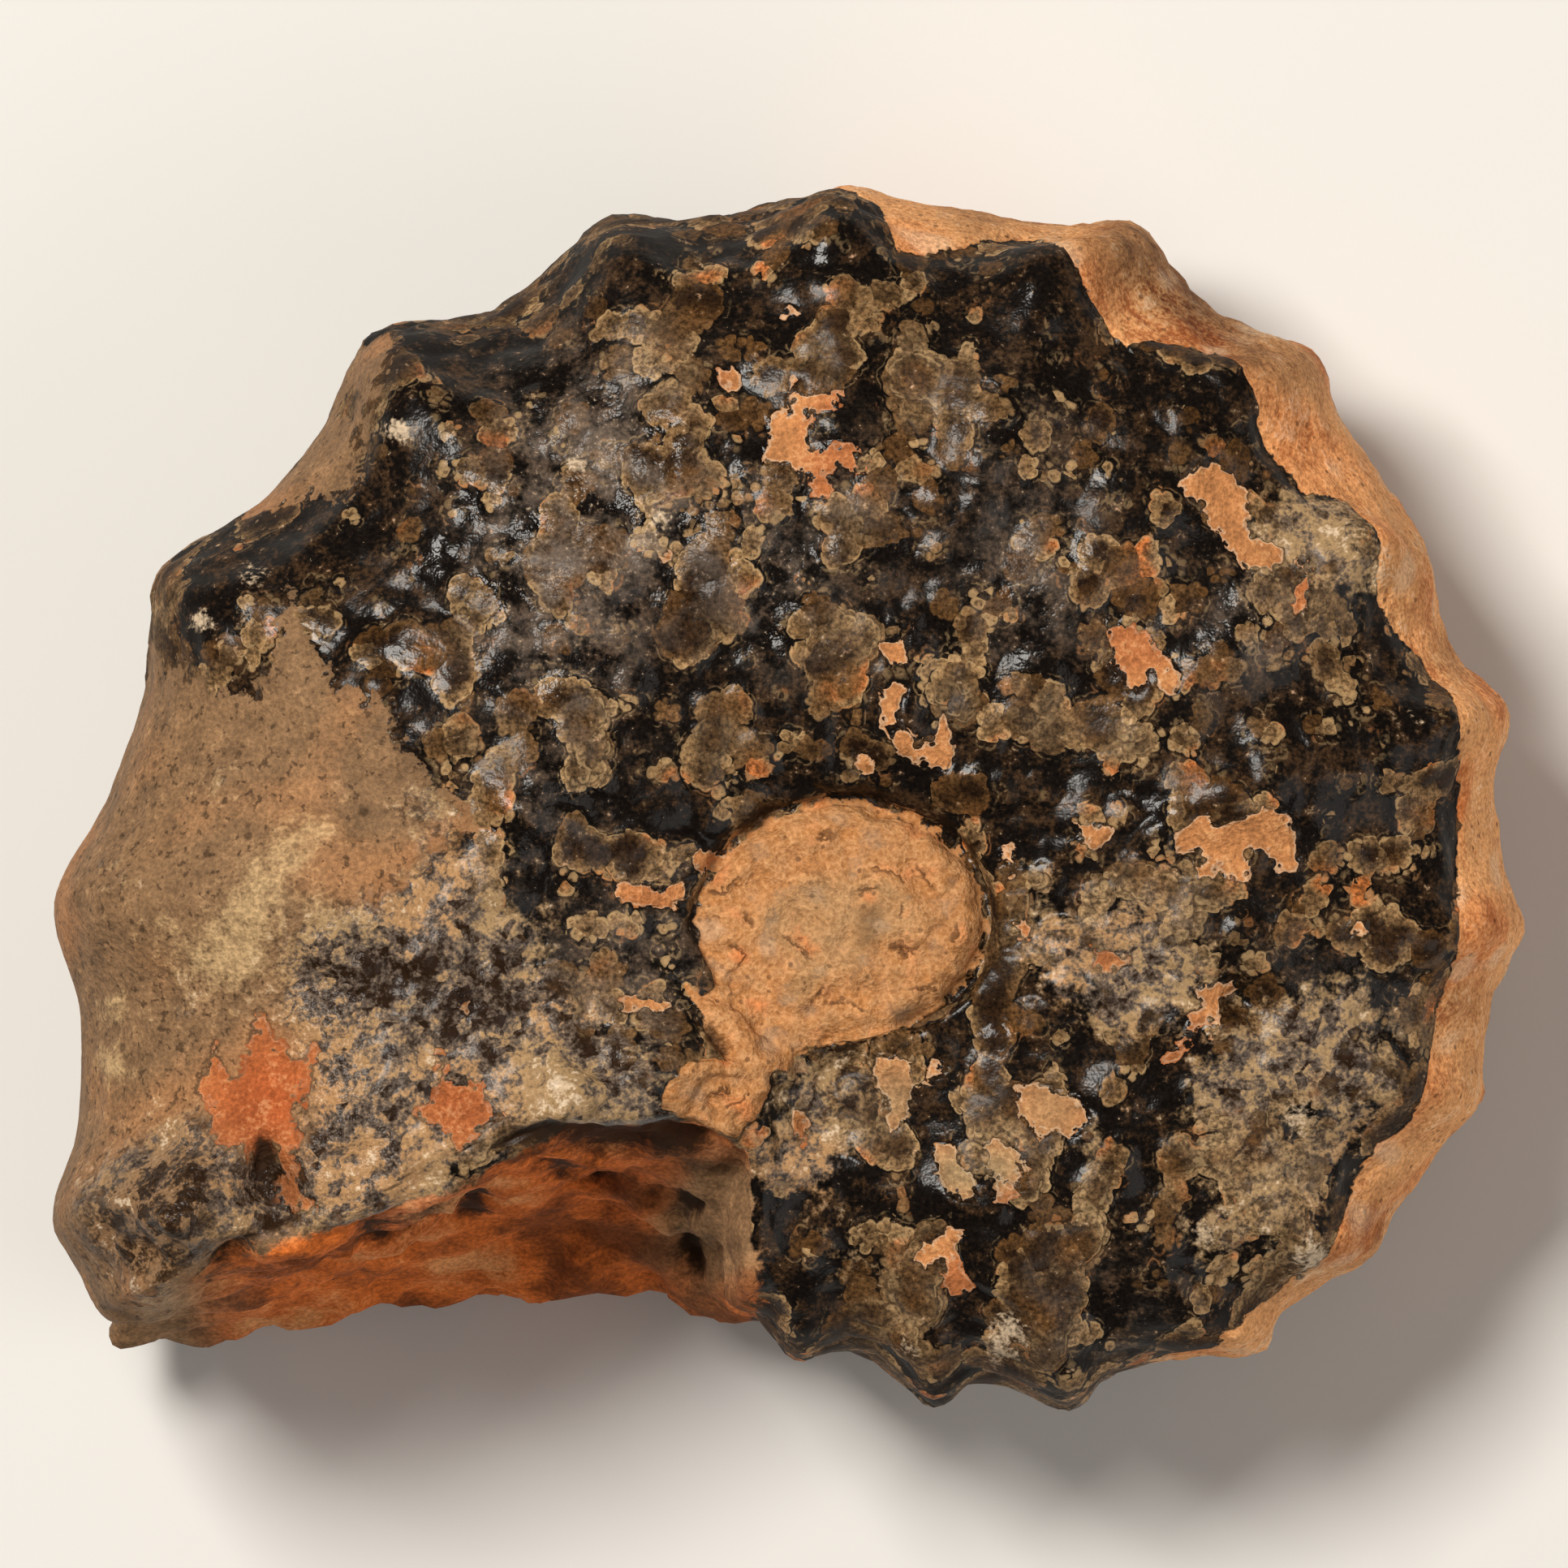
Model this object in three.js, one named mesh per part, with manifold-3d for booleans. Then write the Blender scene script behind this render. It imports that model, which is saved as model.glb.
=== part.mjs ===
// Ammonite fossil: a stout, coarsely ribbed and knobbed ammonite, filled with dark calcite and
// clay-brown matrix, lying on its flank. One petrified piece, so one solid.
// Units are millimetres and degrees, and +Z is up.
//
// The shell is described about its coiling axis, which passes through the umbilicus: the near
// (upper) and far (lower) flanks lie either side of the median plane at height 0. At each turn
// angle the half-plane from the axis outwards holds one half section of the shell, walked from
// the middle of the near umbilicus over the flank to the middle of the venter (the outer rim),
// and back under the far flank. The whorl grows with the angle and ends in a broken mouth at
// about 210 degrees, beyond which the older part of the whorl shows again.
import * as THREE from "three";
import { mergeVertices } from "three/addons/utils/BufferGeometryUtils.js";
import Module from "manifold-3d";

// ---- Driving dimensions ------------------------------------------------------------------

// Radius of the whorl between its ribs, by turn angle: [degrees, mm].
const WHORL_REACH = [
  [-90, 18.0], [-74, 20.0], [-56, 23.1], [-30, 26.2], [-8, 27.8], [24, 28.4],
  [45, 30.1], [75, 31.2], [100, 31.0], [118, 30.3], [140, 30.7], [164, 31.6], [187, 32.9],
];
// The broken mouth, by turn angle: radius of its edge on the far flank, halfway through the
// shell, and on the near flank, where more is broken away.
const MOUTH_FAR = [
  [202, 34.4], [209, 34.9], [212, 31.4], [216, 27.7], [219, 24.3], [224, 21.4], [231, 19.4],
  [237, 17.4], [252, 16.9],
];
const MOUTH_MIDDLE = [
  [202, 34.4], [207, 34.8], [210, 32.4], [213, 26.8], [218, 20.6], [226, 16.4], [235, 14.8],
  [245, 14.8], [254, 16.4],
];
const MOUTH_NEAR = [
  [202, 34.2], [207, 33.6], [210, 29.4], [212, 26.0], [214, 22.0], [216, 18.4], [219, 15.6],
  [228, 12.6], [237, 11.4], [245, 11.2], [250, 12.8], [255, 15.8],
];
// Half the breadth of the shell, by turn angle.
const HALF_BREADTH = [
  [-97, 9.1], [-45, 9.7], [0, 10.6], [45, 11.4], [90, 12.2], [135, 13.0], [180, 13.8],
  [212, 14.0], [228, 13.2], [240, 12.0], [252, 10.2],
];
// How much lower the flank is beside the umbilicus than halfway across it.
const INNER_FALL = [[-97, 0], [0, 0.2], [90, 0.6], [180, 1.5], [215, 1.6], [240, 0.8]];
// How square the section is: the power of its superellipse. The mouth is squarer.
const SQUARENESS = [[-90, 2.8], [195, 2.8], [212, 6.0], [246, 6.0]];

// The ribs, from the oldest to the one at the mouth. Each has a knob on the shoulder between
// flank and venter. Angles in degrees, heights and radii in mm; the crest is on the venter.
const RIBS = [
  { angle: -97, crestAngle: -97, crest: 1.1, knob: 0.9, knobRadius: 17.2, flank: 0.25 },
  { angle: -80, crestAngle: -80, crest: 1.3, knob: 1.1, knobRadius: 18.9, flank: 0.3 },
  { angle: -65, crestAngle: -65, crest: 1.1, knob: 1.1, knobRadius: 20.7, flank: 0.3 },
  { angle: -49, crestAngle: -46, crest: 0.9, knob: 1.0, knobRadius: 23.0, flank: 0.3 },
  { angle: -35, crestAngle: -32, crest: 0.5, knob: 0.9, knobRadius: 24.3, flank: 0.35 },
  { angle: -17, crestAngle: -16, crest: 0.6, knob: 0.9, knobRadius: 25.4, flank: 0.4 },
  { angle: -1, crestAngle: 0, crest: 0.8, knob: 0.9, knobRadius: 25.7, flank: 0.45 },
  { angle: 18, crestAngle: 18, crest: 1.2, knob: 1.4, knobRadius: 26.6, flank: 0.75 },
  { angle: 36, crestAngle: 33, crest: 0.4, knob: 1.2, knobRadius: 27.4, flank: 0.5 },
  { angle: 54, crestAngle: 51, crest: 1.0, knob: 1.4, knobRadius: 28.3, flank: 0.5 },
  { angle: 73, crestAngle: 68, crest: 1.0, knob: 1.8, knobRadius: 29.5, flank: 0.55 },
  { angle: 91, crestAngle: 91, crest: 0.3, knob: 1.9, knobRadius: 29.8, flank: 0.55 },
  { angle: 109, crestAngle: 109, crest: 1.0, knob: 1.4, knobRadius: 29.7, flank: 0.5 },
  { angle: 130, crestAngle: 129, crest: 1.6, knob: 1.8, knobRadius: 28.5, flank: 0.6 },
  { angle: 153, crestAngle: 153, crest: 1.7, knob: 1.7, knobRadius: 29.4, flank: 0.6 },
  { angle: 178, crestAngle: 178, crest: 1.4, knob: 1.1, knobRadius: 30.4, flank: 0.8 },
  { angle: 203, crestAngle: 202, crest: 1.3, knob: 0.9, knobRadius: 31.0, flank: 0.6 },
];
// Across a rib, from its crest to 37% of its height, by turn angle.
const RIB_WIDTH = [[-97, 1.3], [-40, 1.5], [20, 1.9], [90, 2.2], [150, 2.8], [203, 3.0], [255, 1.3]];
const KNOB_LENGTH = 2.6; // along the rib, the same
const KNOB_ON_VENTER = 0.3; // share of a knob's height that is left on the venter
const FAR_SIDE_RELIEF = 0.9; // the far flank is a little more worn

// Single lumps (and pits, where negative) on the near flank: place from the coiling axis in plan,
// height and radius.
const FLANK_LUMPS = [
  { name: "worn bulla above the umbilicus", x: 2.3, y: 8.3, height: 0.6, radius: 1.7 },
  { name: "dark bulla", x: -13.2, y: 4.8, height: 0.8, radius: 1.8 },
  { name: "swelling of the body chamber", x: -24.2, y: 0.8, height: 0.6, radius: 3.2 },
  { name: "pale bulla at the broken edge", x: -12.2, y: -7.4, height: 1.4, radius: 1.9 },
  { name: "bulla by the umbilicus", x: -8.8, y: -5.4, height: 0.6, radius: 1.6 },
  { name: "outer knob at the mouth", x: -31.2, y: -11.4, height: 1.0, radius: 1.8 },
  { name: "inner knob at the mouth", x: -27.2, y: -12.0, height: 1.4, radius: 1.7 },
  { name: "corner knob", x: -29.8, y: -16.2, height: 1.1, radius: 2.0 },
  { name: "hollow between the knobs", x: -29.2, y: -13.6, height: -1.1, radius: 1.2 },
  { name: "cavity behind the inner knob", x: -24.5, y: -11.4, height: -1.8, radius: 1.5 },
  { name: "groove under the inner knob", x: -26.6, y: -14.8, height: -1.3, radius: 1.3 },
];
// The same on the face of the broken mouth, with the height above the median plane.
const MOUTH_LUMPS = [
  { name: "older whorl seen in the mouth", x: -5.4, y: -12.9, z: 6, height: 1.6, radius: 2.6 },
  { name: "recess beside it", x: -10.2, y: -13.0, z: 4, height: -1.4, radius: 2.0 },
  { name: "middle of the filling", x: -19.0, y: -14.5, z: -2, height: 1.1, radius: 3.4 },
  { name: "hollow towards the near flank", x: -21.5, y: -14.0, z: 6, height: -1.0, radius: 2.4 },
  { name: "lump towards the far flank", x: -12.5, y: -14.5, z: -7, height: 1.1, radius: 2.6 },
  { name: "hollow in the far corner", x: -25.5, y: -16.5, z: -7, height: -1.1, radius: 2.6 },
];

// Matrix that fills each umbilicus: an oval plug a little below the flank, with a crevice round it.
const PLUG_RADIUS_X = 6.35;
const PLUG_RADIUS_Y = 5.55;
const PLUG_OFFSET_Y = -0.4; // of its middle from the coiling axis
const PLUG_SPILL = { angle: 232, width: 22, reach: 0.9 }; // where the matrix runs out over the flank
const PLUG_MIDDLE = 10.7; // height of its middle above the median plane
const PLUG_RIM = [
  [-97, 10.0], [-40, 9.8], [0, 9.9], [50, 10.1], [90, 10.4], [140, 11.0], [180, 11.4],
  [215, 11.2], [240, 10.6],
]; // height of its rim, which follows the growing whorl
const CREVICE_DEPTH = 0.8;
const CREVICE_WIDTH = 0.45;
const CREVICE = [[-75, 0.2], [-50, 1], [150, 1], [190, 0.6], [215, 0.1], [265, 0.1]]; // share of depth

// Crust of matrix left on the venter, through which the knobs stand out.
const CRUST_THICKNESS = 0.9;
const CRUST_BELOW_FLANK = 0.2;
const CRUST_SHARE = [[-75, 0], [-55, 0.8], [-20, 1], [85, 1], [102, 0.4], [115, 0], [200, 0]];

// Uneven ground: height and length of the waves, all over and on the face of the broken mouth.
const GROUND = { height: 0.12, length: 9 };
const MOUTH_GROUND = { height: 0.45, length: 6.5 };

// Stations along a half section, 0 at the coiling axis and 1 at the middle of the venter. In a
// pair of stations, what it names begins at the first and has its full strength at the second.
const PLUG_EDGE = 0.2;
const SHOULDER = 0.32; // highest line of the flank
const SHOULDER_SHARE = 0.3; // of the way from the plug to the edge
const GROUND_STATIONS = [0, 0.3];
const FLANK_RIB_STATIONS = [0.22, 0.44];
const MOUTH_STATIONS = [0.56, 0.66];
const CRUST_STATIONS = [0.62, 0.69];
const ROCK_UNDER_CRUST_STATIONS = [0.62, 0.74];
const CREST_STATIONS = [0.66, 0.82];
const MOUTH_ANGLE_SPAN = [206, 211, 252, 260]; // begins, full, still full, ended
const INNER_FALL_REACH = 0.6; // of the way from the plug to the edge
const WALL_LEAN = 0.35; // how far the umbilical wall faces the axis
const WALL_STEEPNESS = 4; // power of its profile

// How it lies: the flank is tilted by its thicker young end, and the lowest knobs are worn flat.
const REST_TILT_X = -1.3;
const REST_TILT_Y = 3.8;
const WORN_FLAT_DEPTH = 0.35;

// Grid of the solid.
const STEP_ANGLE = 4; // about this far apart, with a step on every rib
const MOUTH_ANGLES = [
  182, 186, 190, 193.5, 196.5, 199, 201, 203, 205, 207, 208.5, 210, 211.2, 212.4, 213.6, 215,
  217, 219.5, 222.5, 226, 230, 234, 238, 242, 246, 249, 252, 255.5, 259,
];
const NEAR_STATIONS = [
  0.07, 0.13, 0.175, 0.195, 0.205, 0.22, 0.25, 0.32, 0.37, 0.42, 0.455, 0.49, 0.52, 0.55, 0.58,
  0.61, 0.64, 0.675, 0.71, 0.75, 0.81, 0.87, 0.93,
];
const FAR_STATIONS = [
  0.12, 0.18, 0.205, 0.23, 0.32, 0.42, 0.49, 0.55, 0.6, 0.65, 0.7, 0.75, 0.81, 0.87, 0.93,
];

// ---- Helpers -----------------------------------------------------------------------------

const RAD = Math.PI / 180;
const CORNER = Math.SQRT1_2; // sine at the corner of the section

// A smooth curve through [angle, value] stations that never overshoots them (a monotone cubic)
// and closes on itself after a full turn.
function turnCurve(stations) {
  const sorted = [...stations].sort((a, b) => a[0] - b[0]);
  const wrap = (turn) => sorted.map(([angle, value]) => [angle + turn, value]);
  const all = [...wrap(-360), ...sorted, ...wrap(360)];
  const slopes = all.slice(1).map((next, i) => (next[1] - all[i][1]) / (next[0] - all[i][0]));
  const tangents = all.map((_, i) => {
    const before = slopes[i - 1] ?? 0;
    const after = slopes[i] ?? 0;
    return before * after <= 0 ? 0 : (2 * before * after) / (before + after);
  });
  return (angle) => {
    let i = 0;
    while (all[i + 1][0] < angle) i += 1;
    const width = all[i + 1][0] - all[i][0];
    const t = (angle - all[i][0]) / width;
    const s = 1 - t;
    return (
      all[i][1] * (1 + 2 * t) * s * s +
      all[i + 1][1] * t * t * (3 - 2 * t) +
      width * (tangents[i] * t * s * s - tangents[i + 1] * t * t * s)
    );
  };
}

const whorlFar = turnCurve([...WHORL_REACH, ...MOUTH_FAR]);
const whorlMiddle = turnCurve([...WHORL_REACH, ...MOUTH_MIDDLE]);
const whorlNear = turnCurve([...WHORL_REACH, ...MOUTH_NEAR]);
const halfBreadth = turnCurve(HALF_BREADTH);
const squareness = turnCurve(SQUARENESS);
const creviceShare = turnCurve(CREVICE);
const crustShare = turnCurve(CRUST_SHARE);
const innerFall = turnCurve(INNER_FALL);
const ribWidth = turnCurve(RIB_WIDTH);
const plugRim = turnCurve(PLUG_RIM);

const { lerp, smoothstep } = THREE.MathUtils;
const bell = (distance, width) => Math.exp(-((distance / width) ** 2));
const turnsApart = (a, b) => ((a - b + 540) % 360) - 180;
const within = (value, [begins, full]) => smoothstep(value, begins, full);

// Uneven ground from crossing waves, between about -1 and 1.
function lumpy(x, y, z, wavelength) {
  const k = (2 * Math.PI) / wavelength;
  return (
    (Math.sin(k * (x + 0.37 * y) + 1.3) * Math.sin(k * (0.83 * y - 0.41 * z) + 0.4) +
      Math.sin(k * (0.71 * z + 0.52 * x) + 2.1) * Math.sin(k * (0.9 * x - 0.6 * y) + 5.2)) /
    1.4
  );
}

// ---- The shell's surface -----------------------------------------------------------------

// How much of the broken mouth there is at a turn angle, from 0 on the whorl to 1 on the break.
const [mouthBegins, mouthFull, mouthStillFull, mouthEnded] = MOUTH_ANGLE_SPAN;
const mouthShare = (angle) =>
  smoothstep(angle, mouthBegins, mouthFull) * (1 - smoothstep(angle, mouthStillFull, mouthEnded));

// Radius of the umbilical plug, an ellipse in plan that is drawn out at the spill.
function plugRadius(angle) {
  const c = Math.cos(angle * RAD);
  const s = Math.sin(angle * RAD);
  const spill = bell(turnsApart(angle, PLUG_SPILL.angle), PLUG_SPILL.width);
  return (
    1 / Math.hypot(c / PLUG_RADIUS_X, s / PLUG_RADIUS_Y) +
    PLUG_OFFSET_Y * s + PLUG_SPILL.reach * spill
  );
}

// A point of the smooth half section, as radius, height and the outward direction there.
function smoothSection(angle, station, side) {
  const plug = plugRadius(angle);
  const breadth = halfBreadth(angle);
  const edge = side > 0 ? whorlNear(angle) : whorlFar(angle);
  const shoulder = plug + SHOULDER_SHARE * (edge - plug);
  const fallEnd = plug + INNER_FALL_REACH * (edge - plug);
  const fallAt = (radius) => innerFall(angle) * (1 - smoothstep(radius, plug, fallEnd));
  const rim = plugRim(angle);
  if (station <= PLUG_EDGE) {
    const share = station / PLUG_EDGE;
    return {
      radius: plug * share,
      height: lerp(PLUG_MIDDLE, rim, share ** 3),
      outward: 0,
      upward: 1,
    };
  }
  if (station <= SHOULDER) {
    const way = (station - PLUG_EDGE) / (SHOULDER - PLUG_EDGE);
    const share = way ** 1.5; // closer stations at the steep foot of the wall
    const radius = plug + (shoulder - plug) * share;
    const top = breadth - fallAt(radius);
    return {
      radius,
      height: top - (top - rim) * (1 - share) ** WALL_STEEPNESS,
      outward: -WALL_LEAN * (1 - way),
      upward: 1,
    };
  }
  const turn = (90 * (1 - station) * RAD) / (1 - SHOULDER);
  const out = Math.cos(turn);
  const up = Math.sin(turn);
  const power = squareness(angle);
  const round = (out ** power + up ** power) ** (1 / power);
  const cornerGain = lerp(1, 2 ** (1 / power), mouthShare(angle)); // the mouth's edge is its corner
  const cornerReach = shoulder + (edge - shoulder) * cornerGain;
  const reach = lerp(whorlMiddle(angle), cornerReach, smoothstep(up, 0, CORNER));
  const radius = shoulder + ((reach - shoulder) * out) / round;
  return {
    radius,
    height: ((breadth - fallAt(radius)) * up) / round,
    outward: out,
    upward: up,
  };
}

// Height of the ribs and knobs above the smooth section.
function ribRelief(angle, station, radius, side) {
  const onFlank = within(station, FLANK_RIB_STATIONS);
  const onVenter = within(station, CREST_STATIONS);
  const width = ribWidth(angle);
  let relief = 0;
  for (const rib of RIBS) {
    const ribAngle = lerp(rib.angle, rib.crestAngle, onVenter);
    const across = bell(turnsApart(angle, ribAngle) * RAD * radius, width);
    const along = bell(radius - rib.knobRadius, KNOB_LENGTH) * lerp(1, KNOB_ON_VENTER, onVenter);
    relief += across * onFlank * (rib.flank * (1 - onVenter) + rib.knob * along);
    relief += across * onVenter * rib.crest;
  }
  return relief * (side > 0 ? 1 : FAR_SIDE_RELIEF);
}

// A point of the finished surface about the coiling axis. side is 1 on the near flank, -1 on the
// far. The crust lies level on the smooth section; the rock under and beside it is lower by the
// crust's thickness, apart from the ribs and knobs that stand through it.
function surfacePoint(angle, station, side) {
  const base = smoothSection(angle, station, side);
  const onMouth = mouthShare(angle) * within(station, MOUTH_STATIONS);
  const onCrust = within(station, CRUST_STATIONS);
  const crust = crustShare(angle);
  const x = base.radius * Math.cos(angle * RAD);
  const y = base.radius * Math.sin(angle * RAD);
  const z = side * base.height;
  const ribs = ribRelief(angle, station, base.radius, side) * (1 - onMouth);
  const rock = ribs - CRUST_THICKNESS * crust * within(station, ROCK_UNDER_CRUST_STATIONS);
  const crustTop = ribs * onCrust - 2 * CRUST_THICKNESS * (1 - onCrust * crust) - CRUST_BELOW_FLANK;
  let lift = Math.max(rock, crustTop);
  lift -= CREVICE_DEPTH * creviceShare(angle) * bell(base.radius - plugRadius(angle), CREVICE_WIDTH);
  lift += GROUND.height * lumpy(x, y, z, GROUND.length) * within(station, GROUND_STATIONS);
  lift += MOUTH_GROUND.height * onMouth * lumpy(x, y, z, MOUTH_GROUND.length);
  for (const lump of side > 0 ? FLANK_LUMPS : [])
    lift += lump.height * bell(Math.hypot(x - lump.x, y - lump.y), lump.radius);
  for (const lump of MOUTH_LUMPS)
    lift += onMouth * lump.height * bell(Math.hypot(x - lump.x, y - lump.y, z - lump.z), lump.radius);
  const radius = base.radius + lift * base.outward;
  return new THREE.Vector3(
    radius * Math.cos(angle * RAD),
    radius * Math.sin(angle * RAD),
    side * (base.height + lift * base.upward),
  );
}

// ---- The solid ---------------------------------------------------------------------------

function turnAngles() {
  const angles = [];
  const whole = RIBS.slice(0, -1);
  whole.slice(0, -1).forEach((rib, i) => {
    const gap = whole[i + 1].angle - rib.angle;
    const steps = Math.round(gap / STEP_ANGLE);
    for (let step = 0; step < steps; step += 1) angles.push(rib.angle + (gap * step) / steps);
  });
  return [...angles, whole.at(-1).angle, ...MOUTH_ANGLES];
}

function shellGeometry() {
  const angles = turnAngles();
  const rings = [
    ...NEAR_STATIONS.map((station) => [station, 1]),
    [1, 1],
    ...FAR_STATIONS.map((station) => [station, -1]).reverse(),
  ];
  const points = [surfacePoint(0, 0, 1)];
  for (const [station, side] of rings)
    for (const angle of angles) points.push(surfacePoint(angle, station, side));
  points.push(surfacePoint(0, 0, -1));
  const at = (ring, step) => 1 + ring * angles.length + (step % angles.length);
  const last = points.length - 1;
  const index = [];
  angles.forEach((_, step) => {
    index.push(0, at(0, step), at(0, step + 1));
    for (let ring = 0; ring + 1 < rings.length; ring += 1)
      index.push(
        at(ring, step), at(ring + 1, step), at(ring + 1, step + 1),
        at(ring, step), at(ring + 1, step + 1), at(ring, step + 1),
      );
    index.push(last, at(rings.length - 1, step + 1), at(rings.length - 1, step));
  });
  const geometry = new THREE.BufferGeometry().setFromPoints(points);
  geometry.setIndex(index);
  return geometry;
}

// Turns the shell the way it lies and sinks its lowest points below height 0, where they are cut.
function laidDown(geometry) {
  geometry.rotateX(REST_TILT_X * RAD).rotateY(REST_TILT_Y * RAD);
  geometry.computeBoundingBox();
  const { min, max } = geometry.boundingBox;
  geometry.translate(-(min.x + max.x) / 2, -(min.y + max.y) / 2, -min.z - WORN_FLAT_DEPTH);
  return geometry;
}

const wasm = await Module();
wasm.setup();

function solidOf(geometry) {
  const bare = geometry.clone();
  bare.deleteAttribute("normal");
  bare.deleteAttribute("uv");
  const merged = mergeVertices(bare, 1e-4);
  return new wasm.Manifold(
    new wasm.Mesh({
      numProp: 3,
      vertProperties: merged.attributes.position.array,
      triVerts: new Uint32Array(merged.index.array),
    }),
  );
}

function geometryOf(solid) {
  const mesh = solid.getMesh();
  const geometry = new THREE.BufferGeometry();
  geometry.setAttribute("position", new THREE.BufferAttribute(mesh.vertProperties, 3));
  geometry.setIndex(new THREE.BufferAttribute(mesh.triVerts, 1));
  geometry.computeVertexNormals();
  return geometry;
}

const shell = solidOf(laidDown(shellGeometry()));
const ground = solidOf(new THREE.BoxGeometry(200, 200, 20).translate(0, 0, -10));

const ammonite = new THREE.Mesh(
  geometryOf(shell.subtract(ground)),
  new THREE.MeshStandardMaterial({ color: 0x4a3d2f, roughness: 0.5, metalness: 0 }),
);
ammonite.name = "ammonite";

const fossil = new THREE.Group();
fossil.add(ammonite);

export default fossil;
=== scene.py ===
import math
from typing import NamedTuple

import bpy
import numpy as np
from mathutils import Matrix, Vector


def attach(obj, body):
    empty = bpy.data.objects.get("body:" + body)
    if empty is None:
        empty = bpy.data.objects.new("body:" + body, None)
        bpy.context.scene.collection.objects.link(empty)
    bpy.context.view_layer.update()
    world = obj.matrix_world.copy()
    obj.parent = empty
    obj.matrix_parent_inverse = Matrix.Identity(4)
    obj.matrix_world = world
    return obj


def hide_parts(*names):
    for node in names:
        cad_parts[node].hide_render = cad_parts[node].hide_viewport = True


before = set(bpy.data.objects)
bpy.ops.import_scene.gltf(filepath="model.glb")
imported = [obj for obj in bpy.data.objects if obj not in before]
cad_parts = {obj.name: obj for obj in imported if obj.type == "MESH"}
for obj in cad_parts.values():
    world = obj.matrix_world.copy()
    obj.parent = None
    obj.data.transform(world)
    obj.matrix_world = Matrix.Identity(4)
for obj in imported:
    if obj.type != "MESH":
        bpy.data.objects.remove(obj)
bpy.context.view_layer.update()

bl_info = {
    "name": "Ammonite fossil",
    "version": (1, 0, 0),
    "blender": (4, 5, 0),
    "location": "3D View > Sidebar > Ammonite",
    "description": "A knobbed ammonite in dark calcite and clay-brown matrix, lying on its flank",
    "category": "Add Mesh",
}

# ---- Driving dimensions: the shell's form, in mm and degrees, much as the solid has it ---------
# The shell is worked out about its coiling axis, at each turn angle as a half section walked from
# the middle of the near umbilicus (station 0) to the middle of the venter (1) and back below.

WHORL_REACH = [
    (-90, 18.0), (-74, 20.0), (-56, 23.1), (-30, 26.2), (-8, 27.8), (24, 28.4), (45, 30.1),
    (75, 31.2), (100, 31.0), (118, 30.3), (140, 30.7), (164, 31.6), (187, 32.9),
]
MOUTH_FAR = [
    (202, 34.4), (209, 34.9), (212, 31.4), (216, 27.7), (219, 24.3), (224, 21.4), (231, 19.4),
    (237, 17.4), (252, 16.9),
]
MOUTH_MIDDLE = [
    (202, 34.4), (207, 34.8), (210, 32.4), (213, 26.8), (218, 20.6), (226, 16.4), (235, 14.8),
    (245, 14.8), (254, 16.4),
]
MOUTH_NEAR = [
    (202, 34.2), (207, 33.6), (210, 29.4), (212, 26.0), (214, 22.0), (216, 18.4), (219, 15.6),
    (228, 12.6), (237, 11.4), (245, 11.2), (250, 12.8), (255, 15.8),
]
HALF_BREADTH = [
    (-97, 9.1), (-45, 9.7), (0, 10.6), (45, 11.4), (90, 12.2), (135, 13.0), (180, 13.8),
    (212, 14.0), (228, 13.2), (240, 12.0), (252, 10.2),
]
INNER_FALL = [(-97, 0), (0, 0.2), (90, 0.6), (180, 1.5), (215, 1.6), (240, 0.8)]
SQUARENESS = [(-90, 2.8), (195, 2.8), (212, 6.0), (246, 6.0)]
# Ribs: angle, angle of the crest, height of the crest, of the knob, the knob's radius from the
# axis, height over the flank.
RIBS = [
    (-97, -97, 1.1, 0.9, 17.2, 0.25), (-80, -80, 1.3, 1.1, 18.9, 0.3),
    (-65, -65, 1.1, 1.1, 20.7, 0.3), (-49, -46, 0.9, 1.0, 23.0, 0.3),
    (-35, -32, 0.5, 0.9, 24.3, 0.35), (-17, -16, 0.6, 0.9, 25.4, 0.4),
    (-1, 0, 0.8, 0.9, 25.7, 0.45), (18, 18, 1.2, 1.4, 26.6, 0.75),
    (36, 33, 0.4, 1.2, 27.4, 0.5), (54, 51, 1.0, 1.4, 28.3, 0.5),
    (73, 68, 1.0, 1.8, 29.5, 0.55), (91, 91, 0.3, 1.9, 29.8, 0.55),
    (109, 109, 1.0, 1.4, 29.7, 0.5), (130, 129, 1.6, 1.8, 28.5, 0.6),
    (153, 153, 1.7, 1.7, 29.4, 0.6), (178, 178, 1.4, 1.1, 30.4, 0.8),
    (203, 202, 1.3, 0.9, 31.0, 0.6),
]
RIB_WIDTH = [(-97, 1.3), (-40, 1.5), (20, 1.9), (90, 2.2), (150, 2.8), (203, 3.0), (255, 1.3)]
KNOB_LENGTH = 2.6
KNOB_ON_VENTER = 0.3
FAR_SIDE_RELIEF = 0.9
# Lumps, and pits where negative: place on the near flank, height, radius.
FLANK_LUMPS = [
    (2.3, 8.3, 0.6, 1.7), (-13.2, 4.8, 0.8, 1.8), (-24.2, 0.8, 0.6, 3.2),
    (-12.2, -7.4, 1.4, 1.9), (-8.8, -5.4, 0.6, 1.6), (-31.2, -11.4, 1.0, 1.8),
    (-27.2, -12.0, 1.4, 1.7), (-29.8, -16.2, 1.1, 2.0), (-29.2, -13.6, -1.1, 1.2),
    (-24.5, -11.4, -1.8, 1.5), (-26.6, -14.8, -1.3, 1.3),
]
MOUTH_LUMPS = [
    (-5.4, -12.9, 6, 1.6, 2.6), (-10.2, -13.0, 4, -1.4, 2.0), (-19.0, -14.5, -2, 1.1, 3.4),
    (-21.5, -14.0, 6, -1.0, 2.4), (-12.5, -14.5, -7, 1.1, 2.6), (-25.5, -16.5, -7, -1.1, 2.6),
]
PLUG_RADII = (5.95, 4.85)
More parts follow.
